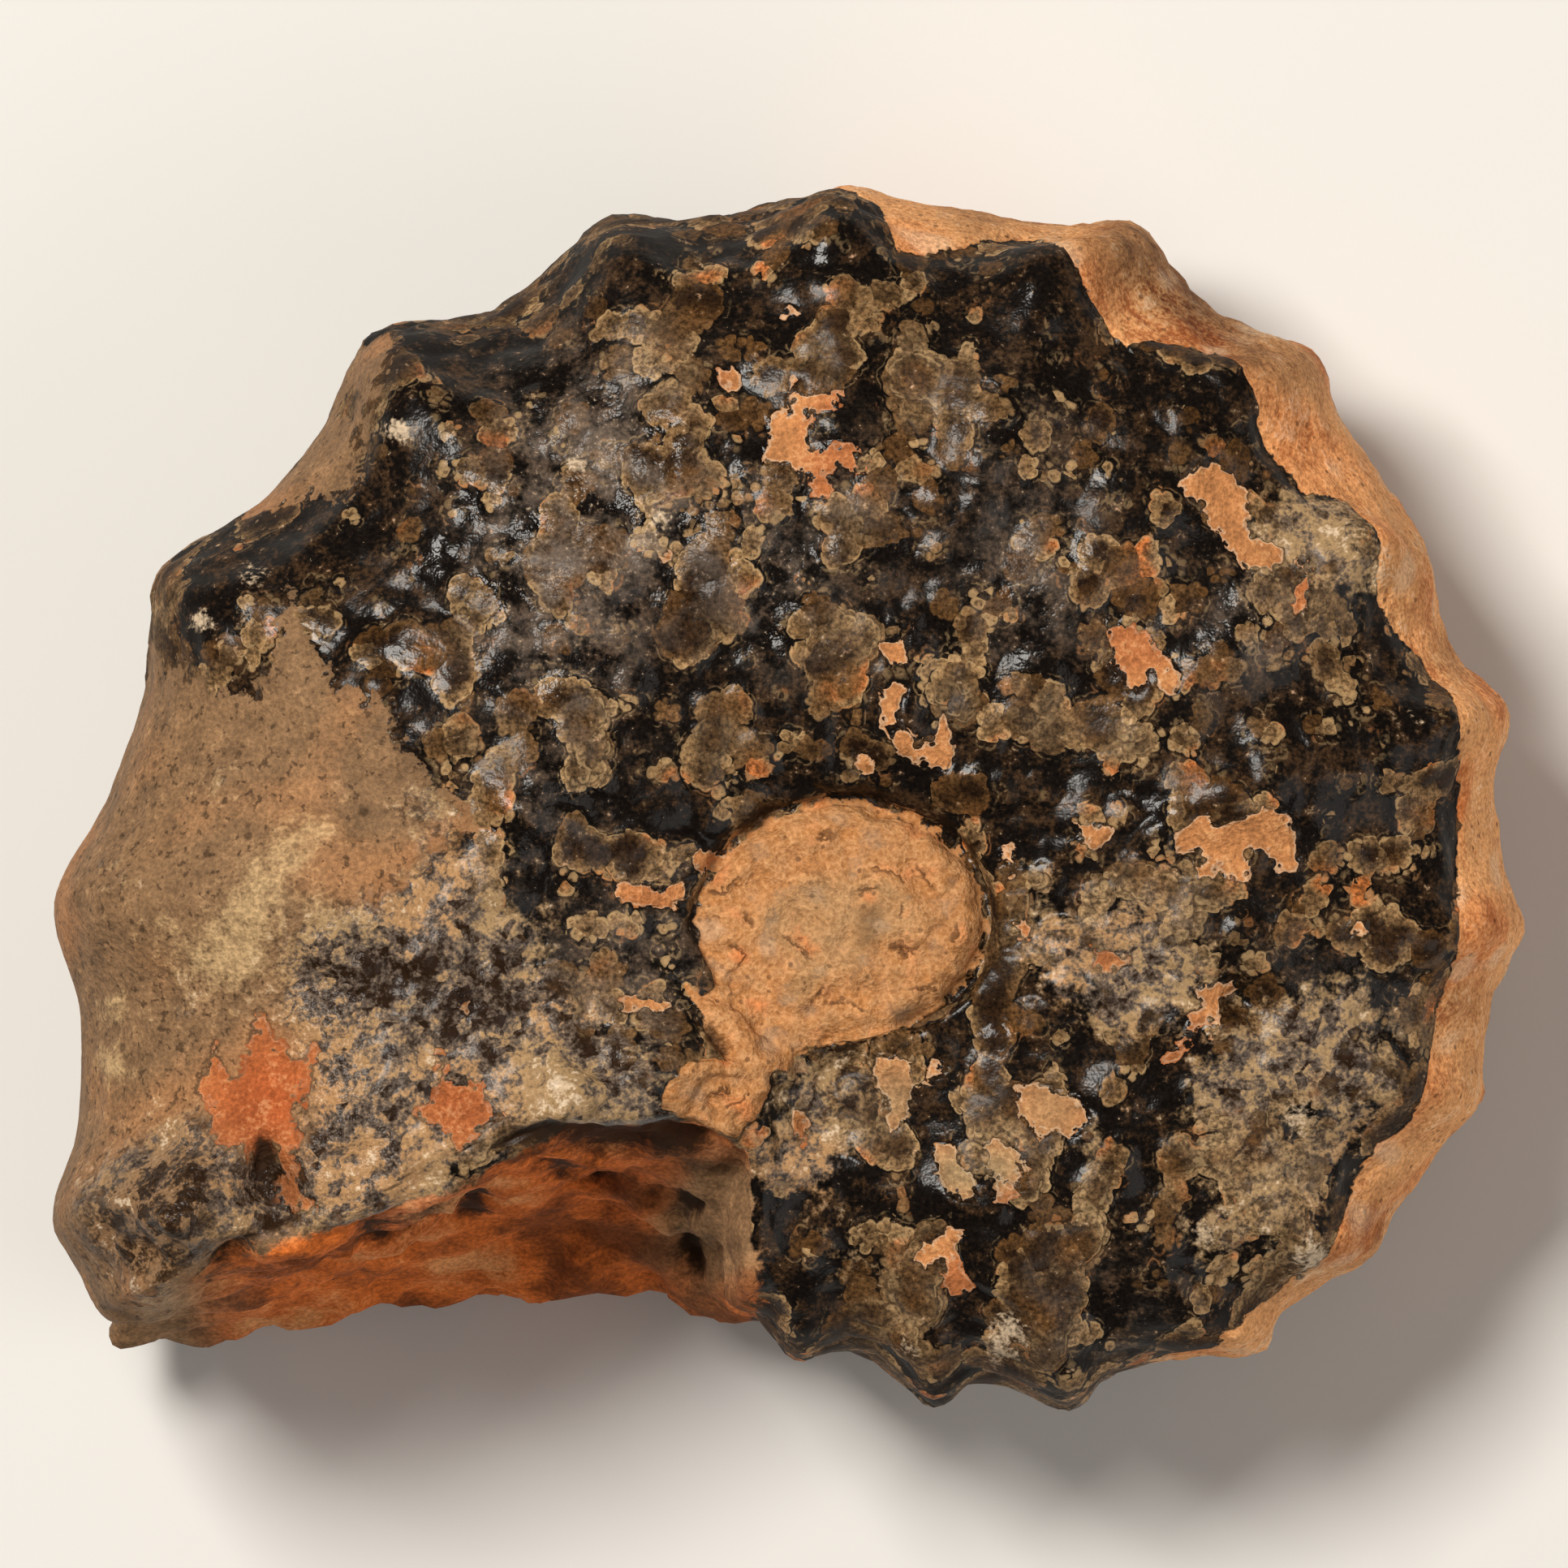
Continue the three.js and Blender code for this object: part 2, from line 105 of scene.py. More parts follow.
PLUG_OFFSET = (-0.2, 0.15)
PLUG_SPILL = (232, 22, 0.9)  # angle, width, reach
PLUG_MIDDLE = 10.7
PLUG_RIM = [
    (-97, 10.0), (-40, 9.8), (0, 9.9), (50, 10.1), (90, 10.4), (140, 11.0), (180, 11.4),
    (215, 11.2), (240, 10.6),
]
CREVICE_DEPTH = 0.8
CREVICE_WIDTH = 0.45
CREVICE = [(-75, 0.2), (-50, 1), (150, 1), (190, 0.6), (215, 0.1), (265, 0.1)]
CRUST_THICKNESS = 0.9
CRUST_BELOW_FLANK = 0.2
CRUST_SHARE = [(-75, 0), (-55, 0.8), (-20, 1), (85, 1), (102, 0.4), (115, 0), (200, 0)]
GROUND = (0.12, 9)  # height and length of the waves all over
MOUTH_GROUND = (0.45, 6.5)
PLUG_EDGE = 0.2
SHOULDER = 0.32
SHOULDER_SHARE = 0.3
GROUND_STATIONS = (0, 0.3)
FLANK_RIB_STATIONS = (0.22, 0.44)
MOUTH_STATIONS = (0.56, 0.66)
CRUST_STATIONS = (0.62, 0.69)
ROCK_UNDER_CRUST_STATIONS = (0.62, 0.74)
CRUST_OUTLINE_HEIGHTS = (2, 6)  # over these heights the crust follows its outline, mm
CRUST_STEP = (-1.3, 0.1)  # how far inside its outline it rises, mm
CRUST_WAVER = (6, 8)  # how far its ends waver in degrees, and the waver's length in mm
ROCK_DIP = (-1.1, 1.9)  # how far inside it the rock beneath dips, mm
CREST_STATIONS = (0.66, 0.82)
MOUTH_ANGLE_SPAN = (206, 211, 252, 260)
INNER_FALL_REACH = 0.6
WALL_LEAN = 0.35
WALL_STEEPNESS = 4
TURN = (-97, 263)  # the turn angles of the grid
EVEN_WEIGHT = 25  # mm, the larger the more evenly the angles are spread
SAMPLE_ANGLE = 60.0  # the section here sets how the rings are spread
CREVICE_RINGS = (1.6, 0.21, 0.02)  # how many more at the crevice, its station, its width
REST_TILT_X = -1.3
REST_TILT_Y = 3.8
REST_PLACE = (2.580, -5.424, 12.508)  # of the coiling axis's middle, mm

MM = 0.001

# ---- Markings of the near flank ----------------------------------------------------------------
# Places are counted in marks of 0.342 mm from the coiling axis, +x to the right and +y up.

MARK = 0.342

# Rust-orange islands of matrix, as outlines.
ISLANDS = [
    [(-6.8, 68), (-5.3, 65.5), (-0.3, 65.8), (-1.6, 63.5), (-4.3, 63), (-5.1, 61), (-5, 58.5),
     (0.2, 59.3), (2.7, 57), (1.4, 55.5), (-1.3, 56.3), (-3.1, 55.3), (-1.6, 53), (-4, 52.3),
     (-5.3, 55.5), (-7.8, 56.5), (-10.8, 56.2), (-9.8, 59), (-10.3, 62.8), (-7.8, 63.5)],
    [(-16.3, 68.5), (-14.3, 69), (-13.3, 67.5), (-14, 65.7), (-15.3, 66)],
    [(-7.8, 77), (-6.3, 75.7), (-8.3, 75)],
    [(2.2, 35), (4.7, 35), (8.2, 37), (7, 33.5), (8, 32), (5.7, 31.5), (4.2, 33.5)],
    [(3.7, 28.5), (5.7, 29.7), (7.7, 29), (6.2, 27), (6.7, 24.5), (8.7, 22.5), (10.7, 23),
     (11.7, 25.5), (12.7, 23.5), (13.4, 21), (12.2, 18.7), (9.2, 19.3), (5.7, 21), (4, 24.5)],
    [(0.7, 21), (2.7, 21.5), (4.2, 19.5), (2.2, 18.5), (0.4, 19)],
    [(32.2, 37.5), (36.7, 36), (39.2, 33), (41.4, 30), (40.2, 28), (38.7, 29), (37.4, 31),
     (36.7, 28.5), (34.7, 29), (34.2, 31), (32.7, 30.5), (31, 32), (32.7, 33.5), (32.2, 35.5)],
    [(40.4, 11), (43.7, 13), (47.7, 12.5), (52.2, 14.5), (54.7, 13), (55.7, 11), (55.2, 9.5),
     (56.2, 6.5), (53.7, 6), (52.2, 8.5), (50.2, 8.5), (49.9, 5), (47.2, 5.3), (46.2, 7),
     (44.7, 5), (43.4, 5.5), (42.7, 8.5), (40.7, 8.5)],
    [(28.2, 12.5), (30.7, 12), (32.7, 11.5), (31.7, 9.5), (30.2, 8.5), (29, 10)],
    [(41, 54.5), (43, 56.5), (46, 57), (48, 55.5), (49.5, 53), (50, 50.5), (49.3, 48.5),
     (53, 47), (54.5, 45.5), (52.5, 43.5), (49, 44), (47, 47), (44.5, 49.5), (44, 51.5),
     (42, 52.5)],
    [(55.2, 45.5), (57.7, 44.5), (57.2, 37.5), (55.4, 38.5)],
    [(18.2, 9), (20.2, 9.5), (21.2, 7.5), (20.2, 5), (19, 6.5)],
    [(20.2, 0.5), (22.4, -0.5), (22.7, -2), (21.2, -2.5)],
    [(30.2, -3.5), (33.7, -4), (35.2, -5), (32.2, -6.5), (30.7, -6)],
    [(61.7, 0), (63.7, 0.3), (65.2, -1), (63.7, -2), (62.7, -1.5)],
    [(43.2, -7.8), (49.7, -7.3), (47.4, -8.7), (46.5, -11), (47, -14.5), (45, -15),
     (44.4, -12.3), (43, -12.7), (41.4, -16.5), (39.2, -17.3), (41.2, -15), (42.2, -11.5),
     (44.2, -11)],
    [(20.6, -20.5), (24, -20), (28, -21.5), (30, -25), (27.5, -26.8), (25.5, -25.8), (24, -27),
     (22.5, -25.5), (21, -24)],
    [(10.5, -28), (12, -27.3), (13.5, -28.5), (14.8, -30.5), (15.8, -33), (15.2, -34.8),
     (13.2, -34.5), (12, -33), (11, -31)],
    [(16, -28), (18, -26.8), (20.5, -28), (22.3, -30), (22, -33), (20, -35), (18.2, -34.8),
     (18.8, -32.8), (17.5, -31.5), (16.8, -30)],
    [(3.5, -16), (6.5, -16.5), (8.3, -18), (7.8, -22), (6.8, -25), (5.2, -26), (4.4, -22),
     (3.2, -19)],
    [(8.2, -41.5), (9.7, -39), (12.2, -37.7), (14.2, -38.5), (13.4, -40.5), (14, -43.5),
     (15.4, -45.3), (13.4, -47.7), (12.2, -45.5), (11.4, -42.5), (10.2, -43.5), (9, -43)],
    [(-73.1, -10.6), (-71.9, -13.8), (-71, -15), (-69.8, -15.8), (-68.3, -17.4),
     (-67.4, -17.2), (-66, -14.8), (-65.7, -18.9), (-67.4, -21.9), (-68.6, -24),
     (-68.1, -26.4), (-68.5, -29.7), (-67.8, -33.5), (-65.4, -36.4), (-69.8, -36),
     (-71, -32), (-71.3, -28.5), (-72.4, -31), (-74, -29.7), (-74.6, -27.9), (-77.6, -27.9),
     (-78.8, -26.1), (-79.1, -23.7), (-81.2, -20.7), (-80.3, -18.9), (-78.5, -14.8),
     (-77.6, -18.3), (-76.4, -19.4), (-75.2, -18.9), (-74.3, -16.5), (-74, -13.5)],
    [(-51.4, -14.8), (-49.4, -18.9), (-46.4, -20.1), (-44.7, -20.3), (-45.2, -22.5),
     (-42.2, -24.5), (-45.8, -25.5), (-46.4, -27.9), (-48.2, -28.8), (-49.4, -27.9),
     (-50.3, -26.1), (-54, -24), (-51.8, -22.5), (-50.6, -20.7), (-50.9, -18.3)],
    [(-29.3, 4.5), (-26.3, 5), (-23.8, 4), (-20.3, 5.3), (-19.8, 3), (-23.3, 1.5),
     (-26.8, 2.3), (-28.8, 2.7)],
    [(10.2, -16.5), (12.7, -17.5), (11.2, -19.5), (8.7, -20.5)],
    [(-24.4, 5.5), (-22.4, 4.8), (-21.4, 1.5), (-22.8, 1.6), (-23.4, 3.6)],
    [(-20.2, 8.5), (-17.5, 8.8), (-14.7, 8), (-15.5, 6.4), (-18.4, 6.2), (-19.6, 7.4)],
    [(-48.9, -8), (-47.2, -8.6), (-47, -11.8), (-48.4, -11), (-49.6, -9.6)],
    [(-28.6, -9.6), (-25, -9), (-21.8, -10), (-22.2, -11.6), (-25.6, -11), (-28, -11.2)],
    [(-23.8, 46), (-22.3, 46.3), (-21.8, 44.8), (-23.2, 44.5)],
    [(-6.8, -23), (-5.3, -23.7), (-4.6, -26), (-6, -27.5), (-7, -25.5)],
]
# Where the plug's matrix has run out over the flank.
SPILL = [
    (-18.3, -9.5), (-20.6, -7), (-16.8, -14.5), (-14.8, -17), (-19.8, -17.5), (-22.3, -20),
    (-23.3, -23), (-19.8, -25.5), (-13.8, -26.5), (-10.8, -24), (-9.8, -21), (-10.1, -19),
    (-7.8, -18.5), (-5.1, -15.5), (-5.3, -13.2), (-2.8, -13.7), (2.2, -13.5), (-2, -8), (-12, -5),
]
# Where mudstone fills the body chamber: a strip along the venter and the chamber itself.
CHAMBER = [
    [(-59.8, 76), (-58, 69), (-60.5, 61.5), (-61, 54), (-70, 52), (-80, 47), (-86, 43),
     (-100, 44), (-100, 66), (-75, 80)],
    [(-86, 34.5), (-80, 29), (-74, 27.5), (-71.5, 33), (-69.3, 40), (-66.5, 34), (-64, 29),
     (-57, 26.5), (-55.5, 21), (-52, 17), (-47.5, 14), (-46.5, 12), (-54, 7), (-57, 1.5),
     (-59, -2.5), (-60, -9.5), (-60, -15.5), (-58, -20.5), (-56, -26.5), (-54, -31),
     (-60, -36), (-75, -50), (-90, -62), (-110, -55), (-110, 35)],
]
# Where the crust over the venter ends on the near flank: along the knobs, and round outside.
CRUST = [
    (44, -54), (45.2, -52), (47.2, -50.5), (50.2, -47), (53.2, -45.5), (57.2, -43.5),
    (60.2, -41), (61.7, -37.5), (63.4, -33.5), (65.2, -29.5), (66.2, -27.5), (68.7, -26.5),
    (70.7, -24.5), (72.4, -20.5), (73.4, -16.5), (73.7, -12.5), (74.7, -8.5), (75.7, -5.5),
    (76.2, -1.5), (76.4, 3.5), (76.2, 13.5), (76.2, 23.5), (75.2, 28.5), (71.7, 33.5),
    (68.2, 36.5), (66.2, 39.5), (65.4, 43), (65.9, 45.5), (65.4, 48.5), (63.7, 51),
    (61.2, 53.5), (57.2, 53.5), (53.7, 57.5), (51.4, 61), (51.2, 63.5), (50.2, 67),
    (48.7, 69.5), (46.2, 71), (42.2, 71.5), (37.7, 72.5), (34.2, 72), (32.2, 75),
    (29.7, 78.5), (28.7, 81.5), (27.2, 84), (24.2, 86), (21.2, 86.5), (17.2, 85.5),
    (13.2, 84.3), (8.2, 83.5), (5.7, 84), (4.7, 87), (1.7, 90.3), (0, 110), (110, 110),
    (110, -75), (44, -75),
]
# Patches as (x, y, radius, strength).
CLAY_PATCHES = [
    (-23, 69, 5, 0.7), (-46, 38, 4, 0.7), (-37, 46, 3.5, 0.6), (-24, 50, 4.5, 0.8),
    (-16, 53.5, 3.5, 0.4), (2, 49.5, 4, 0.5), (-17, 23, 5, 0.5), (-17, 35.5, 3, 0.5),
    (-30, 25, 4, 0.9), (-33, 19, 4, 0.8), (-44, 21.5, 3.5, 0.7), (-3.5, 70, 3, 0.8),
    (1, 36, 4, 0.9), (11, 69, 6, 0.6), (8, 66, 4, 0.6), (23, 25.5, 5, 0.5), (13, 27, 3, 0.9),
    (35, 22, 4, 0.6), (26, 1.5, 6, 1), (39, 1.5, 7, 1), (34, -6, 7, 0.9), (48, 27, 5, 0.4),
    (61, 23.5, 3, 0.4), (17, -28.5, 5, 1), (23, -23.5, 4, 0.9), (26, -34.5, 5, 0.9),
    (32, -39.5, 5, 1), (51, -30.5, 7, 1), (45, -26.5, 5, 0.8), (60, -14.5, 8, 0.9),
    (7, -49.5, 5, 0.9), (24, -51, 5, 0.8), (10, -42, 5, 0.7), (-48, -4, 9, 0.8),
    (-55, -14, 9, 0.8), (-38, -12, 7, 0.6), (-45, -25, 7, 1), (-62, -28, 8, 0.8),
    (-35, -20, 6, 0.8), (-15, -20, 7, 0.8), (3, -24, 6, 0.7), (10, -8, 5, 0.4),
    (54, 46, 5, 1), (62, 45, 5, 1), (-70, 62, 8, 0.6), (-57, 63, 4, 0.6), (-84, 40, 8, 0.4),
    (-74, 43, 4, 0.5), (55, -44, 8, 0.7), (-2, 82, 4, 0.3), (-28, 84, 6, 0.4),
]
# Where the grey film lies: partly crystalline, and partly a painted sheen for the lamp's
# reflection on the flank.
HAZE_AND_SHEEN_PATCHES = [
    (-31, 58, 12, 1), (-40, 45, 10, 0.6), (-35, 32, 10, 0.8), (-25, 48, 8, 0.7),
    (-10, 45, 9, 0.5), (0, 52, 8, 0.4), (-8, 38, 7, 0.5), (-25, -3, 8, 0.6), (-45, -8, 11, 0.7),
    (-28, -15, 6, 0.9), (22, 38, 9, 0.5), (50, 37, 6, 0.9), (38, 0, 6, 0.4),
    (60, -14, 8, 0.4), (22, 47, 7, 0.4), (-38, 14, 7, 0.5), (30, -50, 8, 0.4), (20, 60, 8, 0.3),
]
# Chalky spots, and painted highlights on the knobs' tips and along the chamber's ridge.
CHALK_AND_HIGHLIGHT_SPOTS = [
    (-55.9, 61.5, 1.8, 1), (-33.8, 56.5, 1.8, 0.8), (-80.3, 37, 1.8, 0.8), (-73.8, 43, 2, 0.8),
    (-23.8, 49.5, 2.4, 0.7), (-34.8, -22.5, 3.4, 1), (-37, -18, 4, 0.7), (-90.6, -34, 2.6, 1),
    (-79.3, -36, 2, 0.9), (-86.3, -46.5, 2.6, 0.5), (-53.8, -30.5, 5, 0.5),
    (56.2, -23.5, 2.6, 1), (19.2, -51.5, 2.6, 1), (44.2, -38.5, 2, 1), (57.2, -41.5, 3, 0.9),
    (62.2, 47.5, 3, 0.6), (66, 43.5, 2, 0.9), (70.2, 25.5, 2.2, 0.5), (25.2, 85.5, 2, 0.5),
    (-69, 9, 3, 0.5), (-72, 4, 4.5, 0.6), (-75, 0, 3, 0.7), (-79, -5, 4.5, 0.7), (-66, 12, 3, 0.4),
    (-74, -5, 3, 0.5), (-65, 1, 2.5, 0.6), (-85, -1, 3, 0.3), (-62, -3, 2, 0.5),
    (-91.3, -10.5, 2, 0.7), (-91.3, -17.5, 2.4, 0.8), (7.4, -52, 2, 0.6), (55.5, 62.5, 2, 0.6),
]
DARK_PATCHES = [
    (47, -2, 4, 1), (47, -7, 4, 0.8), (10, 20, 3, 1), (-27, 13, 5, 0.8), (-53, 12, 5, 0.6),
    (30, -12, 5, 0.8), (12, -33, 4, 0.9), (1, 84, 5, 1), (25, 82, 5, 0.8), (30, 76, 8, 0.8),
    (50, 65, 6, 0.8), (66, 38, 6, 0.7), (60, 14, 8, 0.7), (-2, 20, 4, 0.7), (-9, 17, 5, 0.7),
    (36, -45, 6, 0.9), (0, -37, 5, 0.8), (-60, 44, 5, 0.5), (38, -18, 5, 0.7), (20, 12, 4, 0.6),
    (-46, 70, 8, 0.9), (-30, 80, 8, 0.9), (-62, 54, 6, 0.9), (-76, 48, 6, 1), (-68, 42, 6, 0.9),
    (-56, 34, 6, 0.7), (10, 78, 6, 0.7), (40, 62, 6, 0.8), (-52, 62, 8, 0.8), (-44, 55, 6, 0.5),
    (44, 24, 5, 0.7), (56, 28, 5, 0.6), (26, 30, 4, 0.5), (-66, 33, 5, 0.7), (18, 76, 6, 0.6),
]
MOTTLED_PATCHES = [
    (-7.5, -30, 4.5, 0.5), (0, -41, 4, 0.4),
    (-64, -6, 7, 1), (-57, -4, 6, 0.9), (-50, -8, 8, 0.8), (-43, -14, 8, 0.9), (-36, -20, 7, 1),
    (-58, -14, 7, 0.9), (-52, -20, 7, 0.8), (-60, -24, 7, 1), (-55, -31, 7, 1), (-66, -12, 4, 0.7),
    (-83, -29, 6, 1), (-90, -36, 6, 1), (-84, -38, 6, 1), (-73, -34, 6, 0.8), (-64, -34, 5, 0.8),
    (-28, -21, 6, 0.7), (-50, 4, 6, 0.8), (-42, -3, 6, 0.5), (-86, -47, 4, 0.5), (-79, 17, 4, 0.4),
    (-52, 14, 4, 0.5), (-17, -30, 6, 0.6), (-5, -20, 5, 0.6), (-82, -10, 5, 0.4), (-90, 6, 5, 0.3),
    (55, 50, 5, 0.5), (60, 47, 5, 0.7), (51, 45, 3, 0.5), (65, 43, 3, 0.6), (52, -34, 6, 0.6),
    (60, -27, 5, 0.5), (61, -12, 6, 0.7), (24, 0, 4, 0.5), (27, -6, 4, 0.7), (45, -40, 5, 0.4),
    (-4, -28, 5, 0.6), (5, -20, 4, 0.6), (36, -2, 6, 0.8), (40, -8, 5, 0.8), (33, -11, 4, 0.7),
    (54, -16, 6, 0.8), (47, -21, 6, 0.7), (64, -20, 5, 0.6), (30, -28, 4, 0.4),
]
# Where the mottled stone, the crust and the plug are darker.
GLOOM_PATCHES = [
    (-62, -8, 6, 1), (-54, -6, 6, 0.8), (-45, -12, 7, 0.7), (-58, -24, 5, 0.6), (-88, -30, 4, 0.7),
    (-78, -32, 5, 0.8), (-93, -35, 3, 0.7), (-83, -38, 4, 0.6), (-48, -32, 4, 0.4),
    (-30, -16, 6, 1), (-42, -6, 6, 0.9), (-24, -24, 4, 0.6), (60, 42, 3, 0.6), (-71, -34, 4, 1),
    (34, 84, 7, 0.9), (42, 79, 6, 0.9), (49, 72, 6, 0.9), (56, 68, 4, 0.5), (69, 45, 5, 0.3),
    (16, 89, 6, 0.5), (58, -16, 9, 0.7), (36, -4, 7, 0.5), (60, -50, 6, 0.6), (79, -12, 6, 0.3),
    (65, -38, 6, 0.5), (76, 34, 4, 0.3), (2.4, 1.2, 2, 0.8), (1.8, -2, 1.8, 0.7),
]
RED_PATCHES = [
    (-72, -22, 12, 1), (-48, -23, 7, 0.8), (56, 41, 3, 0.6), (-25, 3, 5, 0.3), (38, 77, 5, 0.9),
    (45, 73, 4, 0.8), (73, -9, 5, 0.5), (70, 30, 5, 0.5),
]
# Dark hollows and holes of the broken mouth and beside it, as outlines, sunk and darkened with
# painted shade; the first is the painted shadow under the mouth's near edge.
SHADED_SLOTS = [
    [(-44, -28.5), (-41.5, -25.8), (-36.5, -25.4), (-30, -25.8), (-22, -25), (-17.5, -26.5),
     (-17, -28.3), (-22, -29.6), (-27, -29.8), (-31, -29.4), (-37, -28.4), (-42, -29.5)],
    [(-33, -38), (-31.8, -37.5), (-31.3, -40.5), (-32.5, -41.5)],
    [(-21.6, -33.5), (-20.2, -34), (-19.6, -36.5), (-20.8, -37.5), (-21.8, -35.8)],
    [(-22, -40.5), (-20.6, -40), (-19.6, -42), (-18, -44), (-20.5, -44.4), (-21.8, -42.8)],
    [(-49, -34.5), (-46.5, -33.8), (-44.5, -35), (-46, -36.8), (-48.5, -36.4)],
    [(-73.5, -26.5), (-71.5, -27), (-70.5, -31), (-71, -35), (-73, -34), (-74, -30)],
    [(-71, -34.5), (-68.5, -36.5), (-74, -40.5), (-79.5, -45.5), (-78.5, -42), (-74, -38.5)],
    [(-81, -36), (-78, -36.5), (-77.5, -39), (-80, -39.5)],
    [(-61, -38.5), (-55, -37.5), (-51, -35), (-49.5, -36.5), (-54, -39.5), (-60, -40.5)],
    [(-39.5, -30.2), (-35.5, -30), (-32, -31), (-35.5, -31.7)],
    [(-18, -12), (-16.5, -12.5), (-14.3, -15.5), (-15, -16.8), (-17.2, -14.5)],
    [(-93, -36), (-90.5, -36.5), (-89, -38), (-92, -39)],
]
TAN_PATCHES = [
    (-90, -40, 9, 1), (-87, -50, 9, 1), (-83, -32, 6, 0.9), (-16, -34, 7, 1), (-16, -40, 7, 1),
    (13, -31, 4, 0.9), (19, -31, 4, 0.9), (6, -22, 5, 0.8), (25, -23, 5, 0.6),
]
# The fields that cover both flanks in patches.
COVERINGS = {
    "clay": CLAY_PATCHES, "haze_and_sheen": HAZE_AND_SHEEN_PATCHES, "chalk_and_highlight": CHALK_AND_HIGHLIGHT_SPOTS, "dark": DARK_PATCHES,
    "mottle": MOTTLED_PATCHES, "gloom": GLOOM_PATCHES, "red": RED_PATCHES,
}

# Small lumps, and hollows where negative: place and height in the shell's own axes, rise,
# radius, all in mm.
SMALL_LUMPS = [
    (16.8, -3.4, 10.5, -0.9, 1.0), (16.2, -4.3, 10.5, 0.8, 0.5), (25.2, 8.7, 8, 0.5, 1.2),
    (21.3, 15.6, 8, 0.5, 1.3), (28.4, 9.2, 0.5, 0.6, 0.6), (28.7, -0.3, 0, 0.6, 0.5),
    (27.0, -7.2, -1, 0.5, 0.6), (25.2, 15.2, 0, 0.4, 0.6), (17.6, -17.8, -1, 0.5, 0.7),
    (-11.9, -7.9, 12, 0.4, 1.4), (-10.8, -7.0, 12, 0.3, 0.8), (-13.0, -7.6, 12, 0.3, 0.7),
    (-25.2, -10.6, 9, 0.4, 0.8), (-28.6, -13.4, 5, -0.5, 0.7), (-29.4, -15.8, 3, 0.4, 0.9),
    (-26.6, -12.8, 6, -0.6, 0.6),
]

# What the fields of the finish are made with. Waves are a length in mm and a seed.
FAR_TURN = 128  # degrees from the near flank's markings to the far flank's
FAR_FADE = (-3, 3)  # heights in mm over which the near markings take over
SPILL_KEPT_BELOW = 9  # mm, keeps the spill off the lower half
ISLANDS_OFF_MOUTH = 3  # mm, keeps the islands out of the mouth
PLUG_PAST_CREVICE = 0.35  # mm, how far the plug spreads where it has no crevice
CHAMBER_WAVER = (2.4, 5, 11)  # mm, then length and seed
CHAMBER_WAVER_HEIGHTS = (9, 4)
SLOT_WAVER = (0.6, 4, 71)  # mm, then length and seed
SLOT_SHRINK = 0.1
SLOT_WAVER_HEIGHTS = (9, 5)
SEPTUM_SPACING = 24  # degrees of turn
SEPTUM_BEND = (0.4, 9.5, 0.8)  # in spacings, then pulse and start of the bend outwards
SEPTUM_REACH = 30  # mm
STEEP = (0.8, 0.4)  # height of the unit normal where ground starts to be steep and fully is
FROND_WAVES = (3.8, 3)
FROND_SHARES = {"septa": 0.18, "waves": 0.52, "clay": -0.55, "dark": 0.55, "steep": -0.3}
# Slow variations of tone that the finish reads.
TONE_WAVES = {"broad": (7.0, 61), "cloud": (2.6, 62), "coarse": (1.7, 63), "choice": (2.0, 64)}
LOBE = 1.6  # size of the lobes of a suture's leaf, mm
LOBULE = 0.5  # size of the lobules round each lobe, mm

# Fine relief along the normals, in mm. Its waves are a length, a seed and, where it isn't 20, how
# many are summed.
RELIEF_WAVES = {
    "bulge": (9, 21), "ground": (3.2, 31), "short_ground": (1.5, 32, 28), "crust": (2.2, 41),
    "short_crust": (1.1, 42), "mouth_ridge": (2.6, 51), "short_mouth_ridge": (1.2, 52),
    "mouth": (3.8, 54), "plug": (2.4, 53), "plug_ridge": (1.5, 55), "grain_ridge": (1.7, 56),
}
LOBE_CAP = 0.66 * LOBE  # radius of the sphere's cap on a lobe
LOBE_SINK = 0.4  # the caps' mean, so that they don't thicken the rock
RIDGE_MEAN = 0.4
PLUG_LEDGES = ((-1.35, -1.1, 1), (-2.7, -2.4, -1), (-3.8, -3.5, 1))  # from, to, up or down
PLUG_HEIGHTS = {"ridges": 0.2, "ledges": 0.22, "waves": 0.12}
MOTTLED_HEIGHTS = {"ridges": 0.24, "grains": 0.3}
MOUTH_HEIGHT = 0.3
ISLAND_DEPTH = 0.09
CHALK_HEIGHT = 0.12
SLOT_DEPTH = 0.7

# Sizes in the finish, in mm.
GRAIN = 0.2
RAGGED = 0.8
SPECK = 0.42
LOBULE_PULL = 0.55  # how far lobes follow the middles of lobules
PLUG_CRACKS = ((-1.2, 0.08), (-2.5, 0.1), (-3.6, 0.08))  # distance from its edge, half width

# Stage, in metres unless said.
FLOOR_SIZE = 3.0
FLOOR_WAVES = 60.0  # mm
SURROUND_COLOUR = (1.0, 0.97, 0.94)
KEY_LIGHT = {"place": (-0.2, 0.22, 0.62), "size": 0.2, "colour": (1.0, 0.96, 0.9)}
FILL_LIGHT = {"place": (0.5, -0.2, 0.4), "size": 0.5, "colour": (1.0, 0.97, 0.94)}
CAMERA_DISTANCE = 2.0
CAMERA_LEAN = 3.8  # degrees from looking straight down, towards +x
FRAME_WIDTH = 66.9  # what the view takes in at the shell's middle, mm
FRAME_MIDDLE = (-2.737, 6.091)  # from the coiling axis, mm

# ---- Helpers for arrays ------------------------------------------------------------------------


def lerp(a, b, share):
    """a where share is 0, b where it is 1, in proportion between."""
    return a + (b - a) * share


def smooth(value, begins, full):
    """Smooth step: 0 up to begins, 1 from full on, and 3t^2 - 2t^3 between them."""
    t = np.clip((value - begins) / (full - begins), 0, 1)
    return t * t * (3 - 2 * t)


def bell(distance, width):
    """Bell curve, 1 in the middle and 37% at the width."""
    return np.exp(-((distance / width) ** 2))


def turns_apart(a, b):
    """Degrees from b to a, the short way round."""
    return (a - b + 540) % 360 - 180


